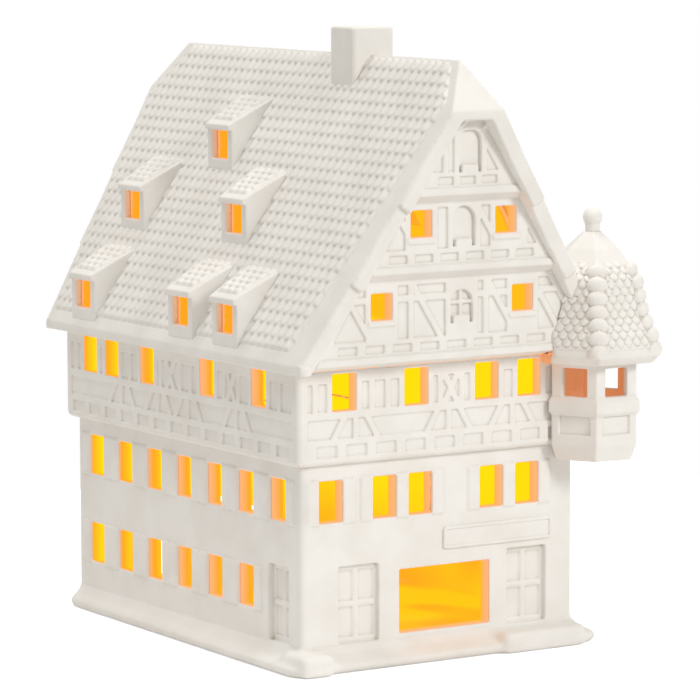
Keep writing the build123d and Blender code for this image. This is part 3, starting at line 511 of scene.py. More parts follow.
def glaze(piece, depth=CREASE_SHADE):
    """Give a house piece its porcelain, with painted shade of some depth in its creases."""
    store_crease_shade(piece, depth)
    piece.data.materials.clear()
    piece.data.materials.append(bisque_material())


def near_corners(half_x, half_y):
    """Picks the points at a storey's four outer corners."""

    def chosen(co):
        return abs(co.x) > half_x - 3 * MM and abs(co.y) > half_y - 3 * MM

    return chosen


def house_rays():
    """A tree of the house's solids, to find which recesses are open."""
    bm = solid_copy(*HOUSE_NODES)
    rays = BVHTree.FromBMesh(bm)
    bm.free()
    return rays


def reveal_glow(rays, co, normal, depth, inward):
    """Glow of a point inside an opening: dark where the opening is blind."""
    house = settings().house
    if depth < house.rim:
        return 0
    if depth > house.wall - house.rim:
        if co.z > house.soffit:
            return ATTIC_GLOW
        high = held((co.z - 20 * MM) / (14 * MM))
        patches = max(noise.noise(co * 60) + 0.1, 0)
        return 0.8 + 0.2 * high - (0.26 - 0.2 * high) * patches
    clear = 0.4 * MM
    blocked = rays.ray_cast(co + normal * clear, inward, 2 * house.wall)[0]
    warmer = held(co.y / house.half_depth)
    deeper = 0.2 + 0.14 * abs(inward.x) + 0.1 * warmer
    lit = JAMB_GLOW + 0.28 * warmer + deeper * depth / house.wall + 0.06 * min(normal.z, 0)
    return 0 if blocked else lit


def storey_glow(half_x, half_y, floor, ceiling):
    """Glow of a storey's walls, from how far behind their outsides a point lies."""
    rays = house_rays()
    house = settings().house
    leak = 5 * MM

    def share(co, normal):
        deep_x = half_x - abs(co.x)
        deep_y = half_y - abs(co.y)
        covered = normal.z > 0.7 and co.z > ceiling and min(deep_x, deep_y) < house.wall - house.jetty
        if co.z < floor or covered:
            return JAMB_GLOW * (covered and co.y < 0 and co.x > leak and deep_y > house.rim)
        inward = Vector((-math.copysign(1, co.x), 0, 0))
        if deep_y < deep_x:
            inward = Vector((0, -math.copysign(1, co.y), 0))
        return reveal_glow(rays, co, normal, min(deep_x, deep_y), inward)

    return share


def gable_glow():
    """Glow of the gables, stage by stage."""
    house = settings().house
    rays = house_rays()
    face = house.half_depth + house.jetty + house.gable_out
    leak = 30 * MM

    def share(co, normal):
        if co.z < house.soffit + house.rim and abs(co.y) > house.half_depth + house.jetty - house.wall:
            return JAMB_GLOW * (co.y < 0 and co.x > leak and co.y > house.rim - face)
        stage = (co.z > house.stage_one) + (co.z > house.stage_two)
        inward = Vector((0, -math.copysign(1, co.y), 0))
        return reveal_glow(rays, co, normal, face + stage * house.stage_out - abs(co.y), inward)

    return share


def dormer_places():
    """Each dormer's name, side, front and middle along the roof."""
    roof = settings().roof
    places = []
    for side, sign in SIDES.items():
        for number in range(1, 7):
            low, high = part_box(f"{side}_dormer_{number}")
            front = max(abs(low.x), abs(high.x)) - roof.dormer_lip
            places.append((f"{side}_dormer_{number}", sign, front, (low.y + high.y) / 2))
    return places


def roof_height(across):
    """Height of the main slope at a distance from the middle."""
    roof = settings().roof
    return roof.eave_z + (roof.eave_x - across) * math.tan(roof.pitch)


def dormer_glow():
    """Glow inside the dormers' windows and under the roof."""
    house = settings().house
    roof = settings().roof
    places = dormer_places()
    margin = 0.5 * MM

    def share(co, normal):
        for name, sign, front, middle in places:
            sill = roof_height(front) + roof.window_lift
            deep = front - abs(co.x)
            beside = abs(co.y - middle) - roof.window_width / 2
            within = sill - margin < co.z < sill + roof.window_height + margin
            if sign * co.x > 0 and deep > 0 and beside < margin and within:
                return DORMER_GLOW * held((deep - roof.reveal) / MM + 0.5)
        under = (roof_height(abs(co.x)) - co.z) * math.cos(roof.pitch)
        inside = abs(co.y) < house.half_depth and abs(co.x) < house.half_width
        return ATTIC_GLOW if inside and under > roof.thickness - margin else 0

    return share


def tile_relief(across, along, width, row_length):
    """Height of staggered round-footed tiles at a place on a slope."""
    tiles = settings().tiles
    share = width / tiles.width
    row = math.floor(along / row_length)
    highest = 0
    for course in (row, row - 1):
        turn = across / width + 0.5 * (course % 2)
        side = (2 * (turn - math.floor(turn)) - 1) ** 2
        up = along - course * row_length - share * tiles.tail * side
        if up > 0:
            foot = 1 - min(up / (share * tiles.soft), 1)
            step = tiles.thick * math.sqrt(1 - foot * foot)
            sink = 0.8 * tiles.thick * up / row_length
            highest = max(highest, step - sink + tiles.crown * (1 - side))
    return share * highest


def tile_skin(width, length, row_length, sunk_by, borders, holes):
    """A closed skin of tiles on the level, trimmed by border planes and open over some footprints."""
    tiles = settings().tiles
    underside = -0.9 * MM
    grid = tiles.grid * 1
    bm = bmesh.new()
    bmesh.ops.create_grid(bm, x_segments=round(width / grid), y_segments=round(length / grid), size=0.5)
    bmesh.ops.transform(bm, matrix=Matrix.Diagonal((width, length, 1, 1)), verts=bm.verts)
    bmesh.ops.translate(bm, vec=(0, length / 2, 0), verts=bm.verts)
    for point, outward in borders:
        bmesh.ops.bisect_plane(bm, geom=bm.verts[:] + bm.edges[:] + bm.faces[:], dist=0.001 * MM,
                               plane_co=point, plane_no=outward, clear_outer=True)
    covered = [face for face in bm.faces
               if any(all((face.calc_center_median() - point).dot(outward) < 0 for point, outward in hole)
                      for hole in holes)]
    bmesh.ops.delete(bm, geom=covered, context="FACES")
    for vert in bm.verts:
        place = vert.co.copy()
        inset = min((point - place).dot(outward) for point, outward in borders)
        rise = held(inset / tiles.fade)
        vert.co.z = tile_relief(place.x, place.y, tiles.width, row_length) * rise - sunk_by
    edge = [edge for edge in bm.edges if edge.is_boundary]
    walls = bmesh.ops.extrude_edge_only(bm, edges=edge)["geom"]
    sunk = [item for item in walls if isinstance(item, bmesh.types.BMVert)]
    for vert in sunk:
        vert.co.z = underside
    rim = [item for item in walls if isinstance(item, bmesh.types.BMEdge) and item.is_boundary]
    bmesh.ops.triangle_fill(bm, edges=rim, use_beauty=False)
    bmesh.ops.recalc_face_normals(bm, faces=bm.faces)
    return bm


def slope_frame(sign, pitch, foot):
    """Places a level skin on a slope that climbs towards the middle."""
    up = Vector((-sign * math.cos(pitch), 0, math.sin(pitch)))
    across = Vector((0, sign, 0))
    out = across.cross(up)
    frame_rows = Matrix((across, up, out)).transposed().to_4x4()
    return Matrix.Translation(foot) @ frame_rows


def line_border(start, end, inside):
    """A border plane through two level points, facing away from a point inside."""
    start = Vector((*start, 0))
    along = Vector((*end, 0)) - start
    outward = Vector((along.y, -along.x, 0)).normalized()
    if (Vector((*inside, 0)) - start).dot(outward) > 0:
        outward.negate()
    return start, outward


def add_roof_trim(bm):
    """Hooks on the verges, blocks and brackets under the half-hips and round knobs on the eaves' ends."""
    house = settings().house
    roof = settings().roof
    face = house.half_depth + house.jetty + house.gable_out + 2 * house.stage_out
    block = ((-6.3, 140), (6.3, 140), (4.4, 143.4), (-4.4, 143.4))
    brackets = ((-3.2, -0.4), (4.9, 7.4))
    knob = 2.3 * MM
    for end in ENDS.values():
        add_hull(bm, [Vector((x * MM, end * (face - back * MM), z * MM)) for back in (0.1, 4.1)
                      for x, z in block])
        for foot, head in brackets:
            outline = ((foot, -0.4, 139.6), (foot, 0.5, 140.4), (head, -0.4, 143.6), (head, 2.8, 143.6))
            add_hull(bm, [Vector(((x + thick) * MM, end * (face + out * MM), z * MM))
                          for x, out, z in outline for thick in (-0.5, 0.5)])
        for sign in SIDES.values():
            corner = Vector((sign * (roof.eave_x - 1.6 * MM), end * (roof.verge - 1.4 * MM),
                             roof.eave_z - MM))
            bmesh.ops.create_icosphere(bm, subdivisions=2, radius=knob, matrix=Matrix.Translation(corner))
    up = Vector((-math.cos(roof.pitch), 0, math.sin(roof.pitch)))
    out = Vector((math.sin(roof.pitch), 0, math.cos(roof.pitch)))
    hook = ((0, 1.3 * MM), (14 * MM, 0.05 * MM))
    for floor in (house.stage_one, house.stage_two):
        foot = Vector((roof.eave_x - (floor - roof.eave_z) / math.tan(roof.pitch), 0, floor))
        for sign in SIDES.values():
            for end in ENDS.values():
                corners = []
                for along, proud in hook:
                    for deep in (0.2 * MM, roof.thickness):
                        place = foot + up * along - out * deep
                        verge = roof.verge + roof.verge_lean * (place.z - roof.eave_z)
                        for reach in (-1.0 * MM, proud):
                            corners.append(Vector((sign * place.x, end * (verge + reach), place.z)))
                add_hull(bm, corners)


def add_gable_trim(end):
    """Sills under a gable's windows and the glazing bars of its lowest niche."""
    house = settings().house
    windows = ((-23.2, 91.5, 0), (20.9, 91.5, 0), (-12.7, 112.6, 1), (13.8, 112.6, 1))
    half_sill = 4.2
    niche = 1.6
    bars = ((0.45, 90.5, 98.0), (3.4, 94.6, 95.4))

    def add(bm):
        face = house.half_depth + house.jetty + house.gable_out
        for middle, sill, stage in windows:
            proud = face + stage * house.stage_out
            add_box(bm, (-end * (middle - half_sill) * MM, end * (proud - MM), (sill - 1.3) * MM),
                    (-end * (middle + half_sill) * MM, end * (proud + 0.4 * MM), (sill - 0.4) * MM))
        for half, low, high in bars:
            add_box(bm, (-end * (niche - half) * MM, end * (face - 1.6 * MM), low * MM),
                    (-end * (niche + half) * MM, end * (face - 0.5 * MM), high * MM))

    return add


def turret_profile():
    """Heights and corner distances of the turret's roof, with the length of its slope up to each."""
    sections = ((76.6, 17.5), (78.8, 19.7), (84.8, 18.0), (88.8, 15.7), (99.0, 13.6), (106.6, 7.6),
                (111.0, 2.4))
    length = 0
    profile = []
    for index, (height, radius) in enumerate(sections):
        if index:
            length += math.hypot(height - sections[index - 1][0], radius - sections[index - 1][1])
        profile.append((height * MM, radius * MM, length * MM))
    return profile


def profile_at(profile, key, value):
    """Height, corner distance and slope length where one of them has a value."""
    for lower, upper in zip(profile, profile[1:]):
        if lower[key] <= value <= upper[key]:
            share = (value - lower[key]) / (upper[key] - lower[key])
            return [a + share * (b - a) for a, b in zip(lower, upper)]
    return profile[0] if value < profile[0][key] else profile[-1]


def turret_side(turret, co):
    """A point's reach from the turret's middle, and the way that the side nearest to it faces."""
    reach = co - Vector((turret.axis_x, turret.axis_y, 0))
    face = math.radians(60 * math.floor(math.degrees(math.atan2(reach.y, reach.x)) / 60) + 30)
    return reach, Vector((math.cos(face), math.sin(face), 0))


def add_hip_knobs(bm):
    """Stacked round knobs up the hips of the turret's roof."""
    turret = settings().turret
    profile = turret_profile()
    shape = Matrix.Diagonal((0.58, 1.05, 0.84, 1))
    place = profile[1][2] + 1.6 * MM
    last = profile[4][2] + 6.0 * MM
    while place < last:
        height, radius, along = profile_at(profile, 2, place)
        for corner in range(6):
            turn = Matrix.Rotation(math.radians(60 * corner), 4, "Z")
            move = Matrix.Translation((turret.axis_x, turret.axis_y, height)) @ turn
            seat = Matrix.Translation((radius - 0.75 * MM, 0, 0))
            bmesh.ops.create_icosphere(bm, subdivisions=2, radius=turret.knob, matrix=move @ seat @ shape)
        place += turret.knob_step


def press_scales(piece):
    """Raise staggered scales on the faces of the turret's roof, between the hips."""
    turret = settings().turret
    profile = turret_profile()
    bottom = profile[2][0] - 4.0 * MM
    top = profile[4][0] + 5.0 * MM
    beside_hip = 2.4 * MM
    sunk = 0.25 * MM
    moves = []
    for vert in piece.data.vertices:
        reach, out = turret_side(turret, vert.co)
        across = reach.dot(Vector((-out.y, out.x, 0)))
        height, radius, along = profile_at(profile, 0, vert.co.z)
        clear = radius / 2 - abs(across) - beside_hip
        shown = vert.normal.dot(out) > 0.2 and bottom < vert.co.z < top
        rise = held(clear / (0.6 * MM)) * held((vert.co.z - bottom) / MM)
        rise *= held((top - vert.co.z) / (2 * MM))
        if shown and rise > 0:
            relief = tile_relief(across, along, turret.scale_width, turret.scale_row)
            moves.append((vert, vert.normal * (rise * (relief - sunk))))
    for vert, move in moves:
        vert.co += move


def turret_glow():
    """Faint light inside the turret's room."""
    turret = settings().turret

    def share(co, normal):
        reach, out = turret_side(turret, co)
        deep = turret.radius * math.cos(math.radians(30)) - reach.xy.dot(out.xy)
        if co.z < turret.floor - 0.3 * MM or deep < 0.5 * turret.wall:
            return 0
        return TURRET_GLOW * held(2 * deep / turret.wall - 1)

    return share


def seam_glow():
    """Light that leaks from the seam where the turret's roof goes in under the gable."""
    house = settings().house
    gable = house.half_depth + house.jetty + house.gable_out

    def share(co, normal):
        behind = co.y > 0.5 * MM - gable and co.z < house.soffit + 0.6 * MM
        return SEAM_GLOW * held((44 * MM - co.x) / (6 * MM)) if behind else 0

    return share


def plastic_material(name, colour, roughness, grain):
    """Moulded plastic with a fine grain and slightly uneven tone."""
    material, tree, shader = fresh_material(name)
    patches = noise_node(tree, grain / 6, 3)
    shade = [0.9 * part for part in colour[:3]] + [1]
    tone = ramp_node(tree.nodes, ((0.35, shade), (0.65, colour)))
    tree.links.new(patches.outputs["Fac"], tone.inputs["Fac"])
    tree.links.new(tone.outputs["Color"], shader.inputs["Base Color"])
    shader.inputs["Roughness"].default_value = roughness
    grains = noise_node(tree, grain, 2)
    grit = bump_node(tree, grains.outputs["Fac"], 0.2, 0.05 * MM)
    tree.links.new(grit.outputs["Normal"], shader.inputs["Normal"])
    return material


def metal_material(name, colour, roughness):
    """Rolled metal with brushed streaks."""
    material, tree, shader = fresh_material(name)
    shader.inputs["Metallic"].default_value = 1
    shader.inputs["Base Color"].default_value = colour
    streaks = noise_node(tree, 700, 3)
    gloss = tree.nodes.new("ShaderNodeMapRange")
    gloss.inputs["To Min"].default_value = 0.8 * roughness
    gloss.inputs["To Max"].default_value = 1.3 * roughness
    tree.links.new(streaks.outputs["Fac"], gloss.inputs["Value"])
    tree.links.new(gloss.outputs["Result"], shader.inputs["Roughness"])
    return material


def flame_material():
    """Frosted flame that the lamp under it lights, brightest near its foot."""
    material, tree, shader = fresh_material("flame_plastic")
    shader.inputs["Roughness"].default_value = 0.45
    place = tree.nodes.new("ShaderNodeTexCoord")
    parts = tree.nodes.new("ShaderNodeSeparateXYZ")
    tree.links.new(place.outputs["Object"], parts.inputs["Vector"])
    low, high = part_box("light_flame")
    level = tree.nodes.new("ShaderNodeMapRange")
    level.inputs["From Min"].default_value = low.z
    level.inputs["From Max"].default_value = high.z
    tree.links.new(parts.outputs["Z"], level.inputs["Value"])
    warm = ramp_node(tree.nodes, ((0, (1, 0.74, 0.30, 1)), (0.5, (1, 0.5, 0.1, 1)),
                                  (1, (0.8, 0.3, 0.05, 1))))
    tree.links.new(level.outputs["Result"], warm.inputs["Fac"])
    tree.links.new(warm.outputs["Color"], shader.inputs["Base Color"])
    tree.links.new(warm.outputs["Color"], shader.inputs["Emission Color"])
    shader.inputs["Emission Strength"].default_value = 0.9
    return material


def dormer_run():
    """How far a dormer reaches into the slope, on the level."""
    roof = settings().roof
    return roof.dormer_height / (math.tan(roof.pitch) - math.tan(roof.dormer_pitch))


def slope_borders(sign):
    """Borders of the tiles on one slope: eave, ridge, verges and half-hips."""
    roof = settings().roof
    length = roof.eave_x / math.cos(roof.pitch)
    hip = (roof.hip_eave_z - roof.eave_z) / math.sin(roof.pitch)
    middle = (0, length / 2)
    eave = 3.4 * MM
    ridge = length - 0.4 * MM
    hip_edge = 3.0 * MM
    lines = [((-1, eave), (1, eave)), ((-1, ridge), (1, ridge))]
    for end, low, high in ((-sign, 9.0 * MM, 5.0 * MM), (sign, 1.2 * MM, 1.2 * MM)):
        lines.append(((end * (roof.verge - low), 0), (end * (roof.hip_eave - high), hip)))
    for end in (-sign, sign):
        lines.append(((end * (roof.hip_eave - hip_edge), hip), (end * (roof.ridge_end - hip_edge), length)))
    return [line_border(start, stop, middle) for start, stop in lines]


def dormer_holes(sign):
    """Footprints of the dormers on one slope, where no tiles lie."""
    roof = settings().roof
    reach = dormer_run() / math.cos(roof.pitch)
    covered = 0.8 * MM
    half_front = roof.dormer_front / 2 - covered
    half_back = roof.dormer_back / 2 - covered
    holes = []
    for name, side, front, along in dormer_places():
        if side != sign:
            continue
        foot = (roof.eave_x - front) / math.cos(roof.pitch)
        centre = sign * along
        inside = (centre, foot + reach / 2)
        low = foot + 0.5 * MM
        high = foot + reach - 2 * MM
        holes.append([
            line_border((centre - 1, low), (centre + 1, low), inside),
            line_border((centre - 1, high), (centre + 1, high), inside),
            line_border((centre - half_front, foot), (centre - half_back, foot + reach), inside),
            line_border((centre + half_front, foot), (centre + half_back, foot + reach), inside),
        ])
    return holes


def add_floor():
    """A pale floor that looks white to the camera and keeps the house's shadow."""
    bm = bmesh.new()
    bmesh.ops.create_grid(bm, x_segments=1, y_segments=1, size=0.25)
    mesh = bpy.data.meshes.new("studio_floor")
    bm.to_mesh(mesh)
    bm.free()
    floor = bpy.data.objects.new("studio_floor", mesh)
    bpy.context.scene.collection.objects.link(floor)
    material, tree, shader = fresh_material("pale_floor")
    shader.inputs["Base Color"].default_value = (0.93, 0.93, 0.93, 1)
    shader.inputs["Roughness"].default_value = 0.9
    shader.inputs["Specular IOR Level"].default_value = 0.0
    path = tree.nodes.new("ShaderNodeLightPath")
    lift = tree.nodes.new("ShaderNodeMath")
    lift.operation = "MULTIPLY"
    lift.inputs[1].default_value = 0.5
    tree.links.new(path.outputs["Is Camera Ray"], lift.inputs[0])
    shader.inputs["Emission Color"].default_value = (1, 1, 1, 1)
    tree.links.new(lift.outputs["Value"], shader.inputs["Emission Strength"])
    mesh.materials.append(material)


def light_world(fill):
    """Even light from all round, white where the camera, gloss or glass sees it."""
    world = bpy.data.worlds.new("studio")
    bpy.context.scene.world = world
    world.use_nodes = True
    tree = world.node_tree
    path = tree.nodes.new("ShaderNodeLightPath")
    seen = path.outputs["Is Camera Ray"]
    for ray in ("Is Glossy Ray", "Is Transmission Ray"):
        either = tree.nodes.new("ShaderNodeMath")
        either.operation = "MAXIMUM"
        tree.links.new(seen, either.inputs[0])
        tree.links.new(path.outputs[ray], either.inputs[1])
        seen = either.outputs["Value"]
    level = tree.nodes.new("ShaderNodeMix")
    level.data_type = "RGBA"
    level.inputs["A"].default_value = fill
    level.inputs["B"].default_value = (1, 1, 1, 1)
    tree.links.new(seen, level.inputs["Factor"])
    tree.links.new(level.outputs["Result"], tree.nodes["Background"].inputs["Color"])


def add_lamp(name, power, place, size):
    """A soft lamp that points at the middle of the house."""
    middle = Vector((0, 0, 0.07))
    lamp = bpy.data.lights.new(name, "AREA")
    lamp.energy = power
    lamp.size = size
    holder = bpy.data.objects.new(name, lamp)
    aim = (middle - Vector(place)).to_track_quat("-Z", "Y").to_matrix().to_4x4()
    holder.matrix_world = Matrix.Translation(place) @ aim
    bpy.context.scene.collection.objects.link(holder)


def add_camera(stage):
    """The camera at the photograph's viewing angle."""
    eye = bpy.data.cameras.new("camera")
    eye.lens = stage.lens
    eye.sensor_width = 36
    eye.clip_start = 0.05
    camera = bpy.data.objects.new("camera", eye)
    back = Vector((math.sin(stage.azimuth) * math.cos(stage.elevation),
                   -math.cos(stage.azimuth) * math.cos(stage.elevation), math.sin(stage.elevation)))
    right = Vector((math.cos(stage.azimuth), math.sin(stage.azimuth), 0))
    turn = Matrix((right, back.cross(right), back)).transposed() @ Matrix.Rotation(stage.roll, 3, "Z")
    camera.matrix_world = Matrix.Translation(stage.camera) @ turn.to_4x4()
    bpy.context.scene.collection.objects.link(camera)
    bpy.context.scene.camera = camera


class LIGHTHOUSE_OT_lower_storey(bpy.types.Operator):
    """Cast the foot and the lower walls in one piece"""

    bl_idname = "lighthouse.lower_storey"
    bl_label = "Lower storey"

    def execute(self, context):
        look = context.scene.light_house
        nodes = ("base", "lower_front_wall", "lower_left_wall", "lower_right_wall", "lower_rear_wall")
        house = look.house
        softer = (
            (lambda co: co.z < house.floor - 0.6 * MM, 110),
            (near_corners(house.half_width, house.half_depth), 24),
        )
        piece = cast_piece("lower_storey", nodes, look.cast.grain, look.cast.rubbing, look.cast.most,
                           softer=softer)
        store_glow(piece, storey_glow(house.half_width, house.half_depth, house.floor - house.rim,
                                      house.ceiling - house.rim))
        glaze(piece)
        return {"FINISHED"}


class LIGHTHOUSE_OT_upper_storey(bpy.types.Operator):
    """Cast the jettied half-timbered walls in one piece"""

    bl_idname = "lighthouse.upper_storey"
    bl_label = "Upper storey"

    def execute(self, context):
        look = context.scene.light_house
        nodes = ("upper_front_wall", "upper_left_wall", "upper_right_wall", "upper_rear_wall")
        house = look.house
        softer = (
            (lambda co: co.z < house.ceiling + 2 * MM, 36),
            (near_corners(house.half_width + house.jetty, house.half_depth + house.jetty), 30),
        )
        piece = cast_piece("upper_storey", nodes, look.cast.fine_grain, look.cast.rubbing, look.cast.most,
                           softer=softer)
        walls = storey_glow(house.half_width + house.jetty, house.half_depth + house.jetty,
                            house.ceiling + house.rim, house.soffit - house.rim)
        turret = look.turret
        middle = Vector((turret.axis_x, turret.axis_y))

        def share(co, normal):
            oriel = co.z > turret.floor and (co.xy - middle).length < 0.8 * turret.radius
            return TURRET_GLOW if oriel else walls(co, normal)

        store_glow(piece, share)
        glaze(piece)
        return {"FINISHED"}


class LIGHTHOUSE_OT_gables(bpy.types.Operator):
    """Cast the two stepped gables"""

    bl_idname = "lighthouse.gables"
    bl_label = "Gables"

    def execute(self, context):
        cast = context.scene.light_house.cast
        share = gable_glow()
        for end, sign in ENDS.items():
            node = f"{end}_gable"
            piece = cast_piece(f"{node}_cast", [node], cast.fine_grain, cast.rubbing, cast.most,
                               add_gable_trim(sign))
            store_glow(piece, share)
            glaze(piece)
        return {"FINISHED"}


class LIGHTHOUSE_OT_roof(bpy.types.Operator):
    """Cast the roof slabs with their half-hips"""

    bl_idname = "lighthouse.roof"
    bl_label = "Roof"

    def execute(self, context):
        cast = context.scene.light_house.cast
        nodes = ("left_roof", "right_roof", "front_hip", "rear_hip")
        piece = cast_piece("roof_shell", nodes, cast.grain, 6 * cast.rubbing, cast.most, add_roof_trim)
        store_glow(piece, dormer_glow())
        glaze(piece)
        return {"FINISHED"}


class LIGHTHOUSE_OT_roof_tiles(bpy.types.Operator):
    """Press the tiles into both slopes"""

    bl_idname = "lighthouse.roof_tiles"
    bl_label = "Roof tiles"

    def execute(self, context):
        look = context.scene.light_house
        roof = look.roof
        length = roof.eave_x / math.cos(roof.pitch)
        for side, sign in SIDES.items():
            bm = tile_skin(2 * roof.hip_eave, length, look.tiles.row, look.tiles.sunk, slope_borders(sign),
                           dormer_holes(sign))
            place = slope_frame(sign, roof.pitch, Vector((sign * roof.eave_x, 0, roof.eave_z)))
            bmesh.ops.transform(bm, matrix=place, verts=bm.verts)
            piece = new_piece(f"{side}_roof_tiles", bm, "house")
            glaze(piece, TILE_CREASE_SHADE)
        return {"FINISHED"}


class LIGHTHOUSE_OT_dormers(bpy.types.Operator):
    """Cast the dormers and press the tiles into their roofs"""

    bl_idname = "lighthouse.dormers"
    bl_label = "Dormers"

    def execute(self, context):
        look = context.scene.light_house
        roof = look.roof
        share = dormer_glow()
        length = (dormer_run() + roof.dormer_lip) / math.cos(roof.dormer_pitch)
        eave = 2.0 * MM
        verge = 1.1 * MM
        half_front = roof.dormer_front / 2 - verge
        half_back = roof.dormer_back / 2 - verge
        middle = (0, length / 2)
        borders = [
            line_border((-1, eave), (1, eave), middle),
            line_border((-1, length), (1, length), middle),
            line_border((-half_front, 0), (-half_back, length), middle),
            line_border((half_front, 0), (half_back, length), middle),
        ]
        for name, sign, front, along in dormer_places():
            piece = cast_piece(f"{name}_cast", [name], look.cast.fine_grain, 3 * look.cast.rubbing,
                               most=14000)
            store_glow(piece, share)
            glaze(piece)
            lip = front + roof.dormer_lip
            lip_z = roof_height(front) + roof.dormer_height - roof.dormer_lip * math.tan(roof.dormer_pitch)
            bm = tile_skin(roof.dormer_back, length, look.tiles.small_row, look.tiles.sunk / 2, borders, [])
            place = slope_frame(sign, roof.dormer_pitch, Vector((sign * lip, along, lip_z)))
            bmesh.ops.transform(bm, matrix=place, verts=bm.verts)
            tiles = new_piece(f"{name}_tiles", bm, "house")
            glaze(tiles, TILE_CREASE_SHADE)
        return {"FINISHED"}


class LIGHTHOUSE_OT_chimney(bpy.types.Operator):
    """Cast the chimney"""

    bl_idname = "lighthouse.chimney"
    bl_label = "Chimney"

    def execute(self, context):
        cast = context.scene.light_house.cast
        piece = cast_piece("chimney_cast", ["chimney"], cast.fine_grain, 7 * cast.rubbing, most=30000)
        glaze(piece)
        return {"FINISHED"}


class LIGHTHOUSE_OT_turret(bpy.types.Operator):
    """Cast the corner turret, its scaled roof and its finial"""

    bl_idname = "lighthouse.turret"
    bl_label = "Turret"

    def execute(self, context):
        cast = context.scene.light_house.cast
        bay = cast_piece("turret_bay_cast", ["turret_bay"], cast.fine_grain, 2 * cast.rubbing, most=90000)
        store_glow(bay, turret_glow())
        glaze(bay)
        eave = turret_profile()[2][0] - 2.5 * MM
        cap = cast_piece("turret_roof_cast", ["turret_roof"], cast.fine_grain, 4 * cast.rubbing, cast.most,
                         add_hip_knobs, ((lambda co: co.z < eave, 30),))
        press_scales(cap)
        hold_inside(cap, ["turret_roof"])
        store_glow(cap, seam_glow())
        glaze(cap, SCALE_CREASE_SHADE)
        knob = cast_piece("turret_finial_cast", ["turret_finial"], cast.fine_grain, cast.rubbing, most=8000)
        glaze(knob)
        return {"FINISHED"}


class LIGHTHOUSE_OT_sign_plate(bpy.types.Operator):
    """Lute the bare sign plate to the front wall"""

    bl_idname = "lighthouse.sign_plate"
    bl_label = "Sign plate"

    def execute(self, context):
        plate = context.scene.light_house.plate
        house = context.scene.light_house.house
        rounding = 0.8 * MM
        border = 0.7 * MM
        step = 0.1 * MM
        sunk = 0.4 * MM
        bm = bmesh.new()
        bmesh.ops.create_cube(bm, size=1)
        bmesh.ops.scale(bm, vec=(plate.length, 2 * plate.thickness, plate.height), verts=bm.verts)
        corners = [edge for edge in bm.edges
                   if abs(edge.verts[0].co.y - edge.verts[1].co.y) > plate.thickness]
        bmesh.ops.bevel(bm, geom=corners, offset=rounding, segments=3, profile=0.5, affect="EDGES",
                        material=-1)
        front = [face for face in bm.faces if face.normal.y < -0.9]
        for width in (border, step):
            bmesh.ops.inset_region(bm, faces=front, thickness=width, use_boundary=True, use_even_offset=True)
        for vert in {vert for face in front for vert in face.verts}:
            vert.co.y += sunk
        bmesh.ops.translate(bm, vec=(plate.middle, -house.half_depth, plate.lift), verts=bm.verts)
        cast = context.scene.light_house.cast
        piece = cast_shape("sign_plate", bm, cast.fine_grain / 2, 2 * cast.rubbing, most=9000)
        glaze(piece)
        return {"FINISHED"}


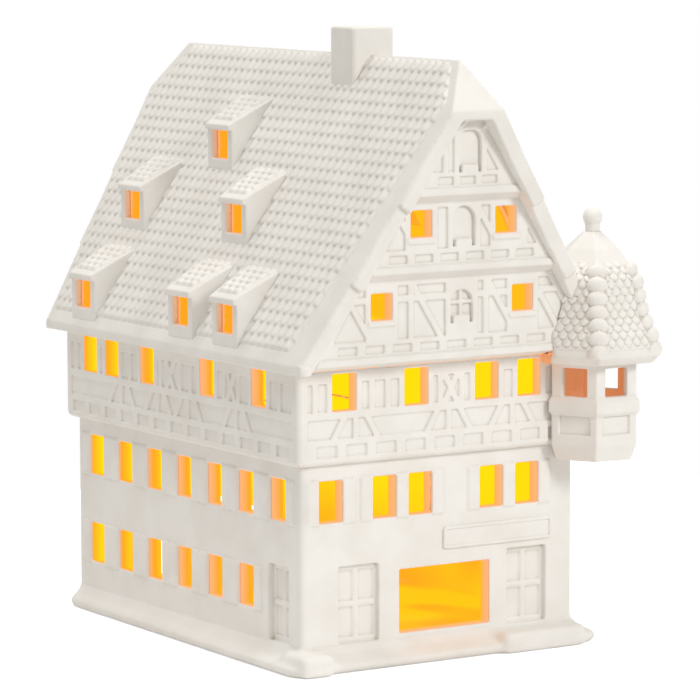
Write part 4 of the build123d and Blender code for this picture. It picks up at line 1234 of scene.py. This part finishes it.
class LIGHTHOUSE_OT_tealight(bpy.types.Operator):
    """Finish the battery tealight inside"""

    bl_idname = "lighthouse.tealight"
    bl_label = "Tealight"

    def execute(self, context):
        wax = plastic_material("ivory_plastic", (0.80, 0.76, 0.66, 1), 0.42, 900)
        finishes = {
            "light_housing": wax,
            "light_base": wax,
            "battery_cover": wax,
            "light_flame": flame_material(),
            "coin_cell": metal_material("cell_steel", (0.62, 0.62, 0.60, 1), 0.28),
            "battery_contact": metal_material("spring_steel", (0.56, 0.53, 0.46, 1), 0.36),
            "circuit_board": plastic_material("green_laminate", (0.03, 0.16, 0.06, 1), 0.5, 1400),
            "led_lamp": plastic_material("lamp_epoxy", (0.85, 0.78, 0.55, 1), 0.12, 300),
            "switch_slider": plastic_material("grey_plastic", (0.12, 0.12, 0.12, 1), 0.5, 1100),
        }
        for node, material in finishes.items():
            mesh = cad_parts[node].data
            mesh.materials.clear()
            mesh.materials.append(material)
        return {"FINISHED"}


class LIGHTHOUSE_OT_stage(bpy.types.Operator):
    """Set the floor, the studio light and the camera"""

    bl_idname = "lighthouse.stage"
    bl_label = "Stage"

    def execute(self, context):
        stage = context.scene.light_house.stage
        context.scene.view_settings.view_transform = "Standard"
        add_floor()
        light_world(stage.fill)
        add_lamp("key", stage.key, stage.key_place, size=0.3)
        add_lamp("overhead", stage.top, stage.top_place, size=0.6)
        add_camera(stage)
        return {"FINISHED"}


class LIGHTHOUSE_PT_finish(bpy.types.Panel):
    """Lists the finishing steps"""

    bl_label = "Light House"
    bl_idname = "LIGHTHOUSE_PT_finish"
    bl_space_type = "VIEW_3D"
    bl_region_type = "UI"
    bl_category = "Light House"

    def draw(self, context):
        for step in STEPS:
            self.layout.operator(step.bl_idname)


GROUPS = (HouseSizes, RoofSizes, TileSizes, CastSizes, TurretSizes, PlateSizes, FinishColours, StageSizes,
          LightHouse)
STEPS = (LIGHTHOUSE_OT_lower_storey, LIGHTHOUSE_OT_upper_storey, LIGHTHOUSE_OT_gables, LIGHTHOUSE_OT_roof,
         LIGHTHOUSE_OT_roof_tiles, LIGHTHOUSE_OT_dormers, LIGHTHOUSE_OT_chimney, LIGHTHOUSE_OT_turret,
         LIGHTHOUSE_OT_sign_plate, LIGHTHOUSE_OT_tealight, LIGHTHOUSE_OT_stage)


def register():
    """Make the groups, steps and panel known."""
    for group in (*GROUPS, *STEPS, LIGHTHOUSE_PT_finish):
        bpy.utils.register_class(group)
    bpy.types.Scene.light_house = PointerProperty(type=LightHouse)


def unregister():
    """Take the groups, steps and panel away."""
    del bpy.types.Scene.light_house
    for group in reversed((*GROUPS, *STEPS, LIGHTHOUSE_PT_finish)):
        bpy.utils.unregister_class(group)


def main():
    """Run every step in order."""
    register()
    for step in STEPS:
        family, name = step.bl_idname.split(".")
        getattr(getattr(bpy.ops, family), name)()


if __name__ == "__main__":
    main()
